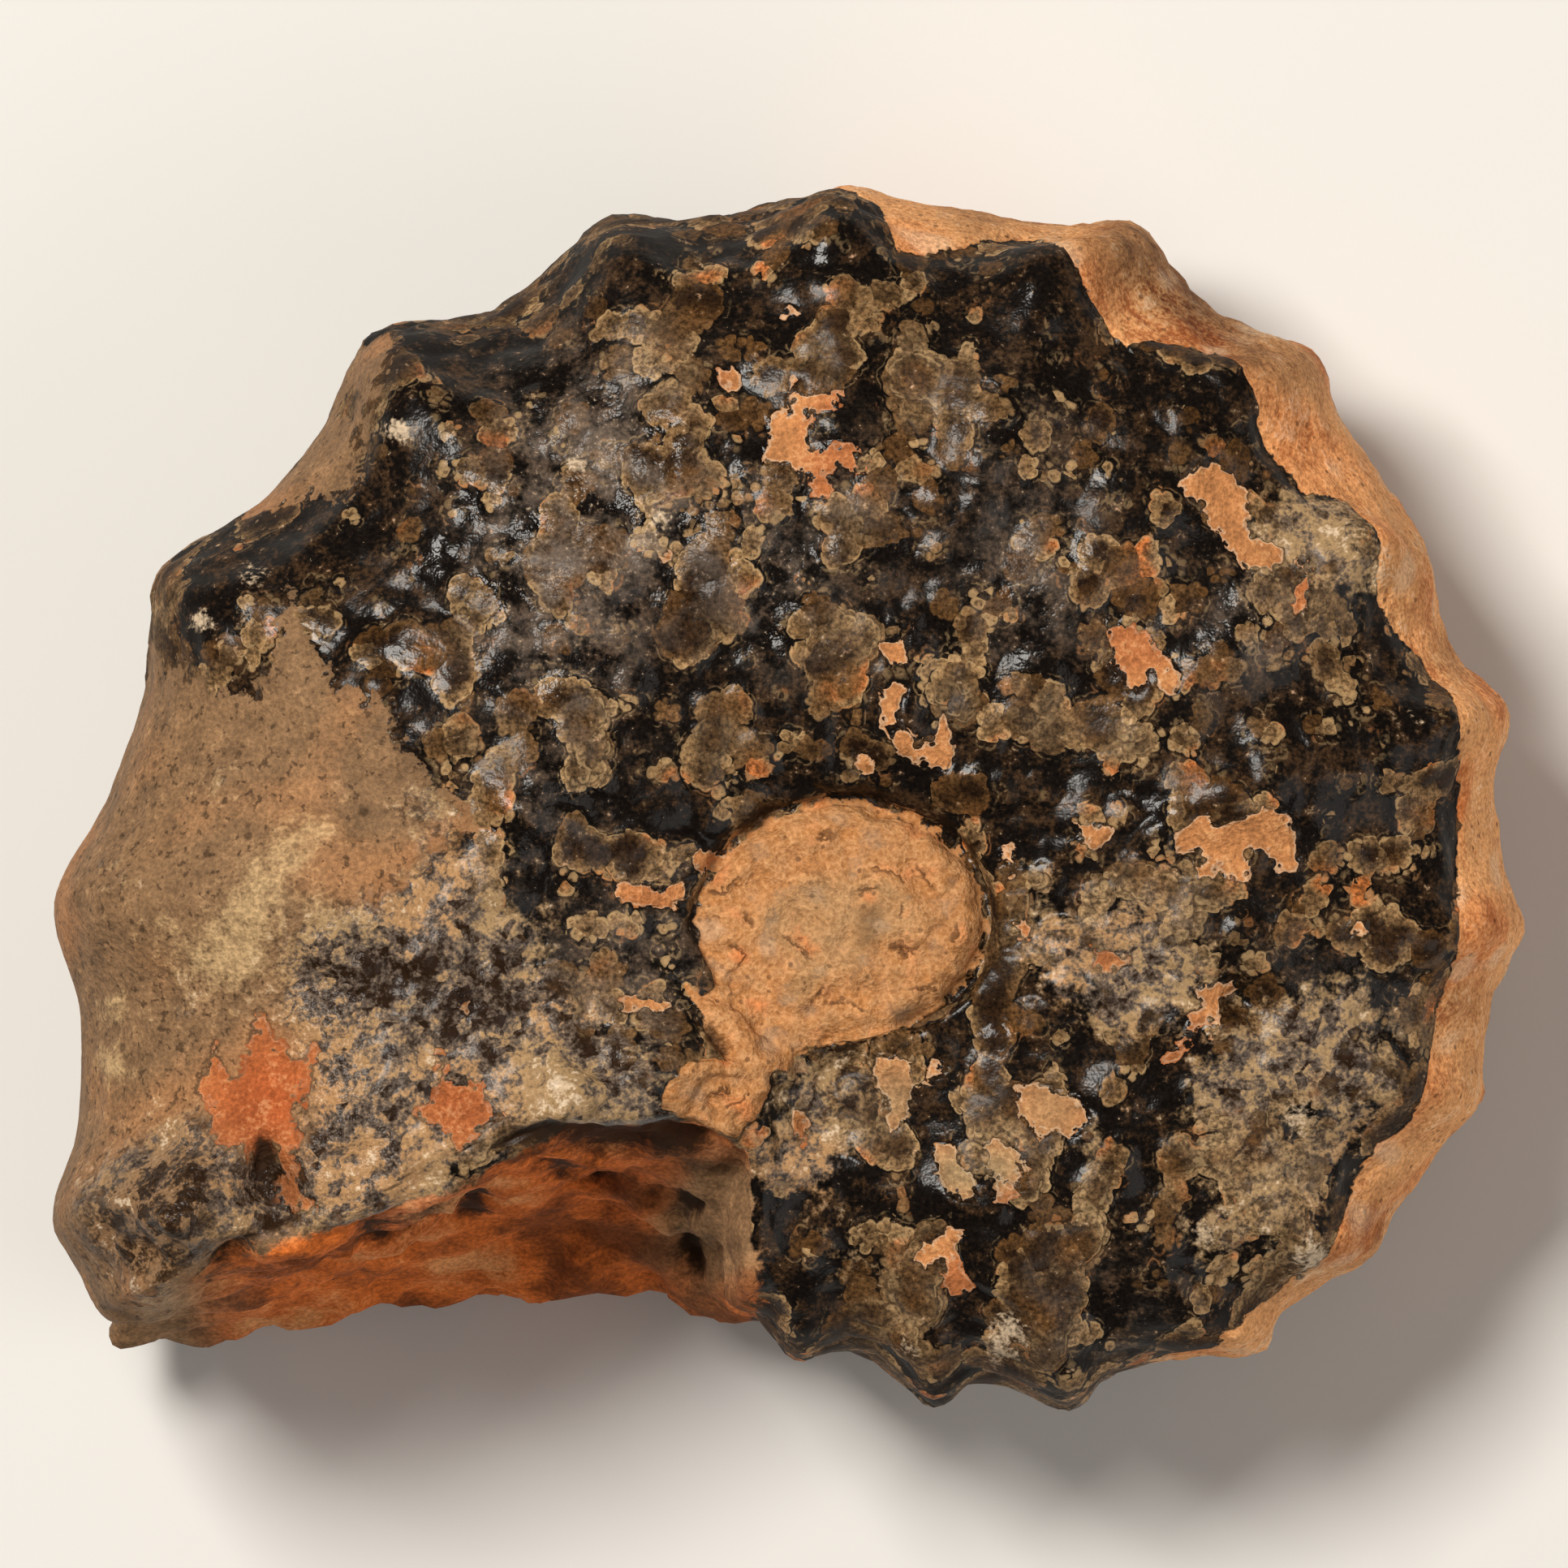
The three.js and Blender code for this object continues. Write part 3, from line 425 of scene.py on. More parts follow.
def turn_curve(stations):
    """A curve of the turn angle through (degrees, value) stations, closed after a full turn: a
    cubic whose slope at a station is the harmonic mean of the slopes beside it, or 0 at a crest,
    so it never overshoots."""
    table = np.array(sorted(stations), float)
    angles, values = np.vstack([table + (turn, 0) for turn in (-360, 0, 360)]).T
    slopes = np.diff(values) / np.diff(angles)
    before = np.concatenate([[0], slopes])
    after = np.concatenate([slopes, [0]])
    same_way = before * after > 0
    tangents = np.where(same_way, 2 * before * after / np.where(same_way, before + after, 1), 0)

    def value(angle):
        i = np.clip(np.searchsorted(angles, angle) - 1, 0, len(angles) - 2)
        width = angles[i + 1] - angles[i]
        t = (angle - angles[i]) / width
        s = 1 - t
        level = values[i] * (1 + 2 * t) * s * s + values[i + 1] * t * t * (3 - 2 * t)
        return level + width * (tangents[i] * t * s * s - tangents[i + 1] * t * t * s)

    return value


whorl_far = turn_curve(WHORL_REACH + MOUTH_FAR)
whorl_middle = turn_curve(WHORL_REACH + MOUTH_MIDDLE)
whorl_near = turn_curve(WHORL_REACH + MOUTH_NEAR)
half_breadth = turn_curve(HALF_BREADTH)
squareness = turn_curve(SQUARENESS)
crevice_share = turn_curve(CREVICE)
crust_share = turn_curve(CRUST_SHARE)
inner_fall = turn_curve(INNER_FALL)
rib_width = turn_curve(RIB_WIDTH)
plug_rim = turn_curve(PLUG_RIM)


def lumpy(x, y, z, wavelength):
    """Uneven ground between about -1 and 1: two products of crossing sine waves."""
    k = 2 * math.pi / wavelength
    first = np.sin(k * (x + 0.37 * y) + 1.3) * np.sin(k * (0.83 * y - 0.41 * z) + 0.4)
    second = np.sin(k * (0.71 * z + 0.52 * x) + 2.1) * np.sin(k * (0.9 * x - 0.6 * y) + 5.2)
    return (first + second) / 1.4


def waves(points, wavelength, seed, count=20):
    """Natural ground between about -1 and 1: a sum of plane sine waves in random directions,
    each 0.65 to 1.6 times the wavelength long."""
    random = np.random.default_rng(seed)
    directions = random.normal(size=(count, 3))
    directions /= np.linalg.norm(directions, axis=1, keepdims=True)
    lengths = wavelength * random.uniform(0.65, 1.6, count)
    phases = random.uniform(0, 2 * math.pi, count)
    pushes = points @ (directions * (2 * math.pi / lengths)[:, None]).T + phases
    return np.sin(pushes).sum(-1) * math.sqrt(2 / count) / 1.7


# The Voronoi texture's own stirring of 32-bit numbers: (change, target, source, bits to turn).
STIR = [
    ("-", "a", "c", 0), ("^", "a", "c", 4), ("+", "c", "b", 0),
    ("-", "b", "a", 0), ("^", "b", "a", 6), ("+", "a", "c", 0),
    ("-", "c", "b", 0), ("^", "c", "b", 8), ("+", "b", "a", 0),
    ("-", "a", "c", 0), ("^", "a", "c", 16), ("+", "c", "b", 0),
    ("-", "b", "a", 0), ("^", "b", "a", 19), ("+", "a", "c", 0),
    ("-", "c", "b", 0), ("^", "c", "b", 4), ("+", "b", "a", 0),
]
SETTLE = [
    ("^", "c", "b", 0), ("-", "c", "b", 14), ("^", "a", "c", 0), ("-", "a", "c", 11),
    ("^", "b", "a", 0), ("-", "b", "a", 25), ("^", "c", "b", 0), ("-", "c", "b", 16),
    ("^", "a", "c", 0), ("-", "a", "c", 4), ("^", "b", "a", 0), ("-", "b", "a", 14),
    ("^", "c", "b", 0), ("-", "c", "b", 24),
]
STIR_START = 0xDEADBEEF + 13
ALL_BITS = 0xFFFFFFFF
CHANGES = {"-": np.subtract, "+": np.add, "^": np.bitwise_xor}


def stirred(a, b, c, steps):
    """Stirs three arrays of 32-bit numbers: each step changes one by another, turned round by
    some bits."""
    names = {"a": a, "b": b, "c": c}
    for kind, target, source, turn in steps:
        value = names[source]
        if turn:
            value = (value << np.uint32(turn)) | (value >> np.uint32(32 - turn))
        names[target] = CHANGES[kind](names[target], value)
    return names["a"], names["b"], names["c"]


def cell_point(cells):
    """The random point of each cell, within 0 to 1 each way, from the bits of its whole-number
    place. The Voronoi texture puts its points in the same places."""
    x, y, z = (np.ascontiguousarray(cells[..., i], np.float32).view(np.uint32) for i in range(3))
    three, four = (np.uint32((STIR_START + (count << 2)) & ALL_BITS) for count in (3, 4))
    found = [stirred(three + x, three + y, three + z, SETTLE)[2]]
    for extra in (1.0, 2.0):
        a, b, c = stirred(four + x, four + y, four + z, STIR)
        found.append(stirred(a + np.float32(extra).view(np.uint32), b, c, SETTLE)[2])
    return np.stack(found, -1) / np.float64(ALL_BITS)


def cell_distance(points, size):
    """Distance from each point to the nearest random point, with one of those in every cube of
    this size. Same unit as the points."""
    scaled = (points / size).astype(np.float32)
    cells = np.floor(scaled)
    nearest = np.full(points.shape[:-1], 9.0)
    for shift in np.ndindex(3, 3, 3):
        neighbour = cells + np.array(shift, np.float32) - 1 + np.float32(0)
        gap = neighbour + cell_point(neighbour) - scaled
        nearest = np.minimum(nearest, np.sqrt((gap**2).sum(-1)))
    return nearest * size


def outline_distance(x, y, outline):
    """Distance in mm to a closed outline of marks, negative inside: the least distance to its
    edges, inside where a line to the right crosses the edges an odd number of times."""
    corners = np.array(outline) * MARK
    nearest = np.full(x.shape, 99.0)
    inside = np.zeros(x.shape, bool)
    for (ax, ay), (bx, by) in zip(corners, np.roll(corners, -1, axis=0)):
        dx, dy = bx - ax, by - ay
        along = np.clip(((x - ax) * dx + (y - ay) * dy) / (dx * dx + dy * dy), 0, 1)
        nearest = np.minimum(nearest, np.hypot(x - ax - along * dx, y - ay - along * dy))
        if dy != 0:
            inside ^= ((ay > y) != (by > y)) & (x < ax + (y - ay) * dx / dy)
    return np.where(inside, -nearest, nearest)


def outlines_distance(x, y, outlines):
    """The least of the distances to several outlines."""
    return np.minimum.reduce([outline_distance(x, y, outline) for outline in outlines])


def patches(x, y, spots):
    """How strongly a kind of patch covers each place, 0 to 1: the sum of a bell for each."""
    total = np.zeros(x.shape)
    for px, py, radius, strength in spots:
        total += strength * bell(np.hypot(x - px * MARK, y - py * MARK), radius * MARK)
    return np.clip(total, 0, 1)


def lumps_height(x, y, z, lumps):
    """The sum of a bell for each lump, by its distance in space."""
    total = 0
    for px, py, pz, rise, width in lumps:
        total = total + rise * bell(np.sqrt((x - px) ** 2 + (y - py) ** 2 + (z - pz) ** 2), width)
    return total


# ---- The shell's surface -----------------------------------------------------------------------


def mouth_share(angle):
    """How much of the broken mouth there is at a turn angle, 0 to 1."""
    begins, full, still_full, ended = MOUTH_ANGLE_SPAN
    return smooth(angle, begins, full) * (1 - smooth(angle, still_full, ended))


def plug_radius(angle):
    """Radius of the umbilical plug: an ellipse in plan, drawn out at the spill."""
    c, s = np.cos(np.radians(angle)), np.sin(np.radians(angle))
    spill_angle, spill_width, spill_reach = PLUG_SPILL
    ellipse = 1 / np.hypot(c / PLUG_RADII[0], s / PLUG_RADII[1])
    spill = spill_reach * bell(turns_apart(angle, spill_angle), spill_width)
    return ellipse + PLUG_OFFSET[0] * c + PLUG_OFFSET[1] * s + spill


def smooth_section(angle, station, side):
    """The smooth half section: radius, height, and how far outwards and upwards the surface
    faces. Up to the plug's edge a shallow dish; then the umbilical wall, rising with the fourth
    power; then a superellipse from the flank's highest line to the middle of the venter, in
    polar form, with the mouth's edge at its corner."""
    plug = plug_radius(angle)
    breadth = half_breadth(angle)
    edge = np.where(side > 0, whorl_near(angle), whorl_far(angle))
    shoulder = plug + SHOULDER_SHARE * (edge - plug)
    fall_end = plug + INNER_FALL_REACH * (edge - plug)
    rim = plug_rim(angle)

    def top_at(radius):
        return breadth - inner_fall(angle) * (1 - smooth(radius, plug, fall_end))

    share = station / PLUG_EDGE
    dish = (plug * share, lerp(PLUG_MIDDLE, rim, share**3), 0 * plug, 1 + 0 * plug)

    way = np.clip((station - PLUG_EDGE) / (SHOULDER - PLUG_EDGE), 0, 1)
    share = way**1.5
    radius = plug + (shoulder - plug) * share
    height = top_at(radius) - (top_at(radius) - rim) * (1 - share) ** WALL_STEEPNESS
    wall = (radius, height, -WALL_LEAN * (1 - way) + 0 * plug, 1 + 0 * plug)

    turn = np.clip(math.pi / 2 * (1 - station) / (1 - SHOULDER), 0, math.pi / 2)
    out, up = np.cos(turn), np.sin(turn)
    power = squareness(angle)
    roundness = (out**power + up**power) ** (1 / power)
    corner_gain = lerp(1, 2 ** (1 / power), mouth_share(angle))
    corner_reach = shoulder + (edge - shoulder) * corner_gain
    reach = lerp(whorl_middle(angle), corner_reach, smooth(up, 0, math.sqrt(0.5)))
    radius = shoulder + (reach - shoulder) * out / roundness
    flank = (radius, top_at(radius) * up / roundness, out + 0 * plug, up + 0 * plug)

    on_plug = station <= PLUG_EDGE
    on_wall = station <= SHOULDER
    return [np.where(on_plug, a, np.where(on_wall, b, c)) for a, b, c in zip(dish, wall, flank)]


def rib_relief(angle, station, radius, side):
    """Height of the ribs and knobs: for each rib a bell across it, as high on the flank and the
    venter as its heights say, with a bell along it for the knob."""
    on_flank = smooth(station, *FLANK_RIB_STATIONS)
    on_venter = smooth(station, *CREST_STATIONS)
    width = rib_width(angle)
    relief = 0
    for rib_angle, crest_angle, crest, knob, knob_radius, flank in RIBS:
        apart = turns_apart(angle, lerp(rib_angle, crest_angle, on_venter))
        across = bell(np.radians(apart) * radius, width)
        along = bell(radius - knob_radius, KNOB_LENGTH) * lerp(1, KNOB_ON_VENTER, on_venter)
        relief = relief + across * on_flank * (flank * (1 - on_venter) + knob * along)
        relief = relief + across * on_venter * crest
    return relief * np.where(side > 0, 1, FAR_SIDE_RELIEF)


def spread(places, weights, count):
    """The ends of count steps from the first place to the last, shorter where the weight is
    larger: equal steps of its sum."""
    steps = (weights[1:] + weights[:-1]) / 2 * np.diff(places)
    total = np.concatenate([[0], np.cumsum(steps)])
    return np.interp(np.linspace(0, total[-1], count + 1), total, places)


def grid_angles(count):
    """Turn angles of the grid, one turn without its end, closer where the edge runs steeply
    inwards at the mouth."""
    angle = np.linspace(*TURN, 3601)
    weight = np.zeros(angle.shape)
    for edge in (whorl_near(angle), whorl_middle(angle), whorl_far(angle)):
        weight += np.hypot(edge, np.gradient(edge, np.radians(angle)))
    return spread(angle, weight + EVEN_WEIGHT, count)[:-1]


def grid_stations(near_count, far_count):
    """Stations and sides of the grid's rings, about evenly apart along the section, and closer
    at the crevice round the plug."""
    station = np.linspace(0, 1, 2001)
    angle = np.full(station.shape, SAMPLE_ANGLE)
    gain, middle, width = CREVICE_RINGS
    rings = []
    for side, count in ((1, near_count), (-1, far_count)):
        radius, height, _, _ = smooth_section(angle, station, np.full(station.shape, side))
        weight = np.hypot(np.gradient(radius, station), np.gradient(height, station))
        weight *= 1 + gain * bell(station - middle, width)
        rings.append(spread(station, weight, count)[1:])
    near, far = rings
    stations = np.concatenate([near, far[:-1][::-1]])
    sides = np.concatenate([np.ones(len(near)), -np.ones(len(far) - 1)])
    return stations, sides


def grid_normals(points):
    """Unit normals of the grid: the cross product of its two directions."""
    across = np.gradient(points, axis=0)
    along = np.roll(points, -1, axis=1) - np.roll(points, 1, axis=1)
    normal = np.cross(across, along)
    return normal / np.linalg.norm(normal, axis=-1, keepdims=True)


def rock_and_crust(angles, station, place, plan, ribs):
    """How far the rock and the crust over it stand out. The rock is the ribs, sunk under the
    crust by its thickness. The crust's top is the ribs, a little lower, where it lies, and falls
    under the rock where it doesn't. On the near side it lies where the plan of the lifted
    surface is within its outline, and elsewhere past its stations."""
    x, y, z = place
    inside = -outline_distance(*plan, CRUST)
    outlined = smooth(z, *CRUST_OUTLINE_HEIGHTS)
    on_crust = lerp(smooth(station, *CRUST_STATIONS), smooth(inside, *CRUST_STEP), outlined)
    dips = lerp(smooth(station, *ROCK_UNDER_CRUST_STATIONS), smooth(inside, *ROCK_DIP), outlined)
    waver, wavelength = CRUST_WAVER
    crust = crust_share(angles + waver * lumpy(x, y, z, wavelength))
    rock = ribs - CRUST_THICKNESS * crust * dips
    missing = 2 * CRUST_THICKNESS * (1 - on_crust * crust)
    return rock, ribs * on_crust - missing - CRUST_BELOW_FLANK


def shell_surface(form):
    """The shell about its coiling axis, with its fields. Returns the grid's points in mm, as
    rings x angles x 3, and a dictionary of fields over them.

    The form is much the solid's: section, ribs, knobs, crust, crevice and lumps, added up and
    laid along the way the smooth section faces. The fine relief then goes along the normals."""
    angles = grid_angles(form.turn_steps)[None, :]
    stations, sides = grid_stations(form.near_rings, form.far_rings)
    station, side = stations[:, None], sides[:, None]
    radius, height, outward, upward = smooth_section(angles, station, side)
    c, s = np.cos(np.radians(angles)), np.sin(np.radians(angles))
    x, y, z = radius * c, radius * s, side * height
    mouth = mouth_share(angles) * smooth(station, *MOUTH_STATIONS)
    ribs = rib_relief(angles, station, radius, side) * (1 - mouth)
    lifted = radius + ribs * outward
    plan = (lifted * c, lifted * s)
    rock, crust_top = rock_and_crust(angles, station, (x, y, z), plan, ribs)
    from_plug = radius - plug_radius(angles)
    lift = np.maximum(rock, crust_top)
    lift = lift - CREVICE_DEPTH * crevice_share(angles) * bell(from_plug, CREVICE_WIDTH)
    lift = lift + GROUND[0] * lumpy(x, y, z, GROUND[1]) * smooth(station, *GROUND_STATIONS)
    lift = lift + MOUTH_GROUND[0] * mouth * lumpy(x, y, z, MOUTH_GROUND[1])
    for px, py, rise, width in FLANK_LUMPS:
        lift = lift + (side > 0) * rise * bell(np.hypot(x - px, y - py), width)
    lift = lift + mouth * lumps_height(x, y, z, MOUTH_LUMPS) + lumps_height(x, y, z, SMALL_LUMPS)
    radius = radius + lift * outward
    height = height + lift * upward
    points = np.stack([radius * c, radius * s, side * height], -1)

    fields = marking_fields(points, from_plug, rock - crust_top, mouth, angles)
    relief = fine_relief(points, fields, form)
    return points + grid_normals(points) * relief[..., None], fields


def frond_field(points, clay, dark, steep):
    """Where the sutures' leaves crowd: a weighted sum of cosine waves from septum to septum, which
    bend on their way out, of random waves, and of the clayey, dark and steep places. Leaves grow
    where it is low."""
    x, y = points[..., 0], points[..., 1]
    turned = np.degrees(np.arctan2(y, x)) % 360
    bend, pulse, start = SEPTUM_BEND
    bent = bend * np.sin(pulse * np.hypot(x, y) / SEPTUM_REACH + start)
    parts = {
        "septa": np.cos(2 * math.pi * (turned / SEPTUM_SPACING + bent)),
        "waves": waves(points, *FROND_WAVES),
        "clay": clay,
        "dark": dark,
        "steep": steep,
    }
    return sum(share * parts[name] for name, share in FROND_SHARES.items())


def marking_fields(points, from_plug, below_crust, mouth, angles):
    """The fields that the finish reads, over the grid. Distances are in mm and negative inside,
    and the others are shares from 0 to 1, or waves. The far flank carries the same kinds of
    marking, turned and mirrored."""
    x, y, z = points[..., 0], points[..., 1], points[..., 2]
    near = smooth(z, *FAR_FADE)
    turn = math.radians(FAR_TURN)
    far_x = x * math.cos(turn) + y * math.sin(turn)
    far_y = x * math.sin(turn) - y * math.cos(turn)

    def both(measure, marks):
        return lerp(measure(far_x, far_y, marks), measure(x, y, marks), near)

    def wavering(waver, heights):
        reach, wavelength, seed = waver
        return reach * waves(points, wavelength, seed) * smooth(z, *heights)

    plug = from_plug - PLUG_PAST_CREVICE * (1 - crevice_share(angles))
    spill = outline_distance(x, y, SPILL) + SPILL_KEPT_BELOW * (z < 0)
    chamber = outlines_distance(x, y, CHAMBER) + wavering(CHAMBER_WAVER, CHAMBER_WAVER_HEIGHTS)
    shaded_slots = outlines_distance(x, y, SHADED_SLOTS) + SLOT_SHRINK * smooth(z, *SLOT_WAVER_HEIGHTS)
    fields = {
        "island": both(outlines_distance, ISLANDS) + ISLANDS_OFF_MOUTH * mouth,
        "chamber": chamber,
        "crust": below_crust,
        "plug": np.minimum(plug, spill),
        "mouth": mouth,
        "deep_shade": shaded_slots + wavering(SLOT_WAVER, SLOT_WAVER_HEIGHTS),
        "tan": patches(x, y, TAN_PATCHES),
        "steep": smooth(np.abs(grid_normals(points)[..., 2]), *STEEP),
    }
    for name, spots in COVERINGS.items():
        fields[name] = both(patches, spots)
    fields["frond"] = frond_field(points, fields["clay"], fields["dark"], fields["steep"])
    matrix = [smooth(-fields[name], 0, 0.1) for name in ("crust", "chamber", "plug", "island")]
    fields["matrix"] = np.maximum.reduce([*matrix, mouth])
    for name, (wavelength, seed) in TONE_WAVES.items():
        fields[name] = waves(points, wavelength, seed)
    return fields


def fine_relief(points, fields, form):
    """Height in mm of the rock's own ground along the normals: a sphere's cap in each lobe of
    the calcite and, lower, in each grain of the mottled stone; sunk islands, raised chalk and
    slots; waves of falling length; and on the plug, the mouth and the mottled stone ridges,
    which are where a wave crosses nought. The plug steps down and up over its ledges."""
    wave = {name: waves(points, *made) for name, made in RELIEF_WAVES.items()}
    mouth, matrix, mottle = fields["mouth"], fields["matrix"], fields["mottle"]
    crust = smooth(-fields["crust"], 0, 0.1)
    plug = smooth(-fields["plug"], -0.1, 0.1)
    island = smooth(-fields["island"], -0.12, 0.08)
    ground = form.ground_height / MM

    lobes = cell_distance(resting(points) * MM, LOBE * MM) / MM
    caps = np.sqrt(np.clip(1 - (lobes / LOBE_CAP) ** 2, 0, 1)) - LOBE_SINK
    bulge = np.clip(0.7 + 0.4 * wave["bulge"] + 0.4 * fields["haze_and_sheen"], 0.2, 1.3)
    relief = (1 - matrix) * form.lobe_height / MM * caps * bulge
    relief = relief + ground * (wave["ground"] + lerp(0.5, 1, plug) * wave["short_ground"])
    relief = relief + ground * crust * (0.9 * wave["crust"] + 0.6 * wave["short_crust"])
    relief = relief - ISLAND_DEPTH * island * (1 - mouth)
    relief = relief + CHALK_HEIGHT * smooth(fields["chalk_and_highlight"], 0.2, 0.8)

    ridges = 0.5 - np.abs(wave["mouth_ridge"]) - 0.4 * np.abs(wave["short_mouth_ridge"])
    relief = relief + MOUTH_HEIGHT * mouth * (ridges + wave["mouth"])
    bed = fields["plug"] + 0.5 * fields["cloud"]
    ledges = sum(way * smooth(bed, low, high) for low, high, way in PLUG_LEDGES) - 1
    ridges = RIDGE_MEAN - np.abs(wave["plug_ridge"])
    plug_parts = {"ridges": ridges, "ledges": ledges, "waves": wave["plug"]}
    relief = relief + plug * sum(PLUG_HEIGHTS[name] * part for name, part in plug_parts.items())
    ridges = RIDGE_MEAN - np.abs(wave["grain_ridge"])
    relief = relief + MOTTLED_HEIGHTS["ridges"] * mottle * ridges
    relief = relief + MOTTLED_HEIGHTS["grains"] * mottle * matrix * (1 - mouth) * caps
    return relief - SLOT_DEPTH * smooth(-fields["deep_shade"], -0.5, 0.6)


def resting(points):
    """Turns the shell as it lies, puts it in place, and wears its lowest points flat."""
    a, b = math.radians(REST_TILT_X), math.radians(REST_TILT_Y)
    about_x = np.array([[1, 0, 0], [0, math.cos(a), -math.sin(a)], [0, math.sin(a), math.cos(a)]])
    about_y = np.array([[math.cos(b), 0, math.sin(b)], [0, 1, 0], [-math.sin(b), 0, math.cos(b)]])
    turned = points @ (about_y @ about_x).T + np.array(REST_PLACE)
    turned[..., 2] = np.maximum(turned[..., 2], 0)
    return turned


def closed_mesh(name, points, fields):
    """A mesh of a grid of rings x angles, closed over both ends by a pole: quads between the
    rings and a fan at each pole. Fields go on its points."""
    rings, steps = points.shape[:2]
    vertices = np.vstack([points.reshape(-1, 3), points[0].mean(0), points[-1].mean(0)])
    count = rings * steps
    end = count - steps
    ring, step = np.meshgrid(np.arange(rings - 1), np.arange(steps), indexing="ij")
    after = (step + 1) % steps
    here, beyond = ring * steps, (ring + 1) * steps
    quads = np.stack([here + step, beyond + step, beyond + after, here + after], -1)
    around, ahead = step[0], after[0]
    near_fan = np.stack([np.full(steps, count), around, ahead], -1)
    far_fan = np.stack([np.full(steps, count + 1), end + ahead, end + around], -1)
    corners = np.concatenate([quads.ravel(), near_fan.ravel(), far_fan.ravel()])
    sizes = np.concatenate([np.full(ring.size, 4), np.full(2 * steps, 3)])
    starts = np.concatenate([[0], np.cumsum(sizes)[:-1]])

    mesh = bpy.data.meshes.new(name)
    mesh.vertices.add(len(vertices))
    mesh.vertices.foreach_set("co", vertices.astype(np.float32).ravel())
    mesh.loops.add(len(corners))
    mesh.loops.foreach_set("vertex_index", corners.astype(np.int32))
    mesh.polygons.add(len(sizes))
    mesh.polygons.foreach_set("loop_start", starts.astype(np.int32))
    mesh.polygons.foreach_set("use_smooth", np.ones(len(sizes), bool))
    mesh.update(calc_edges=True)
    mesh.validate()
    for field, values in fields.items():
        flat = np.concatenate([values.ravel(), [values[0].mean(), values[-1].mean()]])
        attribute = mesh.attributes.new(field, "FLOAT", "POINT")
        attribute.data.foreach_set("value", flat.astype(np.float32))
    return mesh


# ---- Shader wiring -----------------------------------------------------------------------------


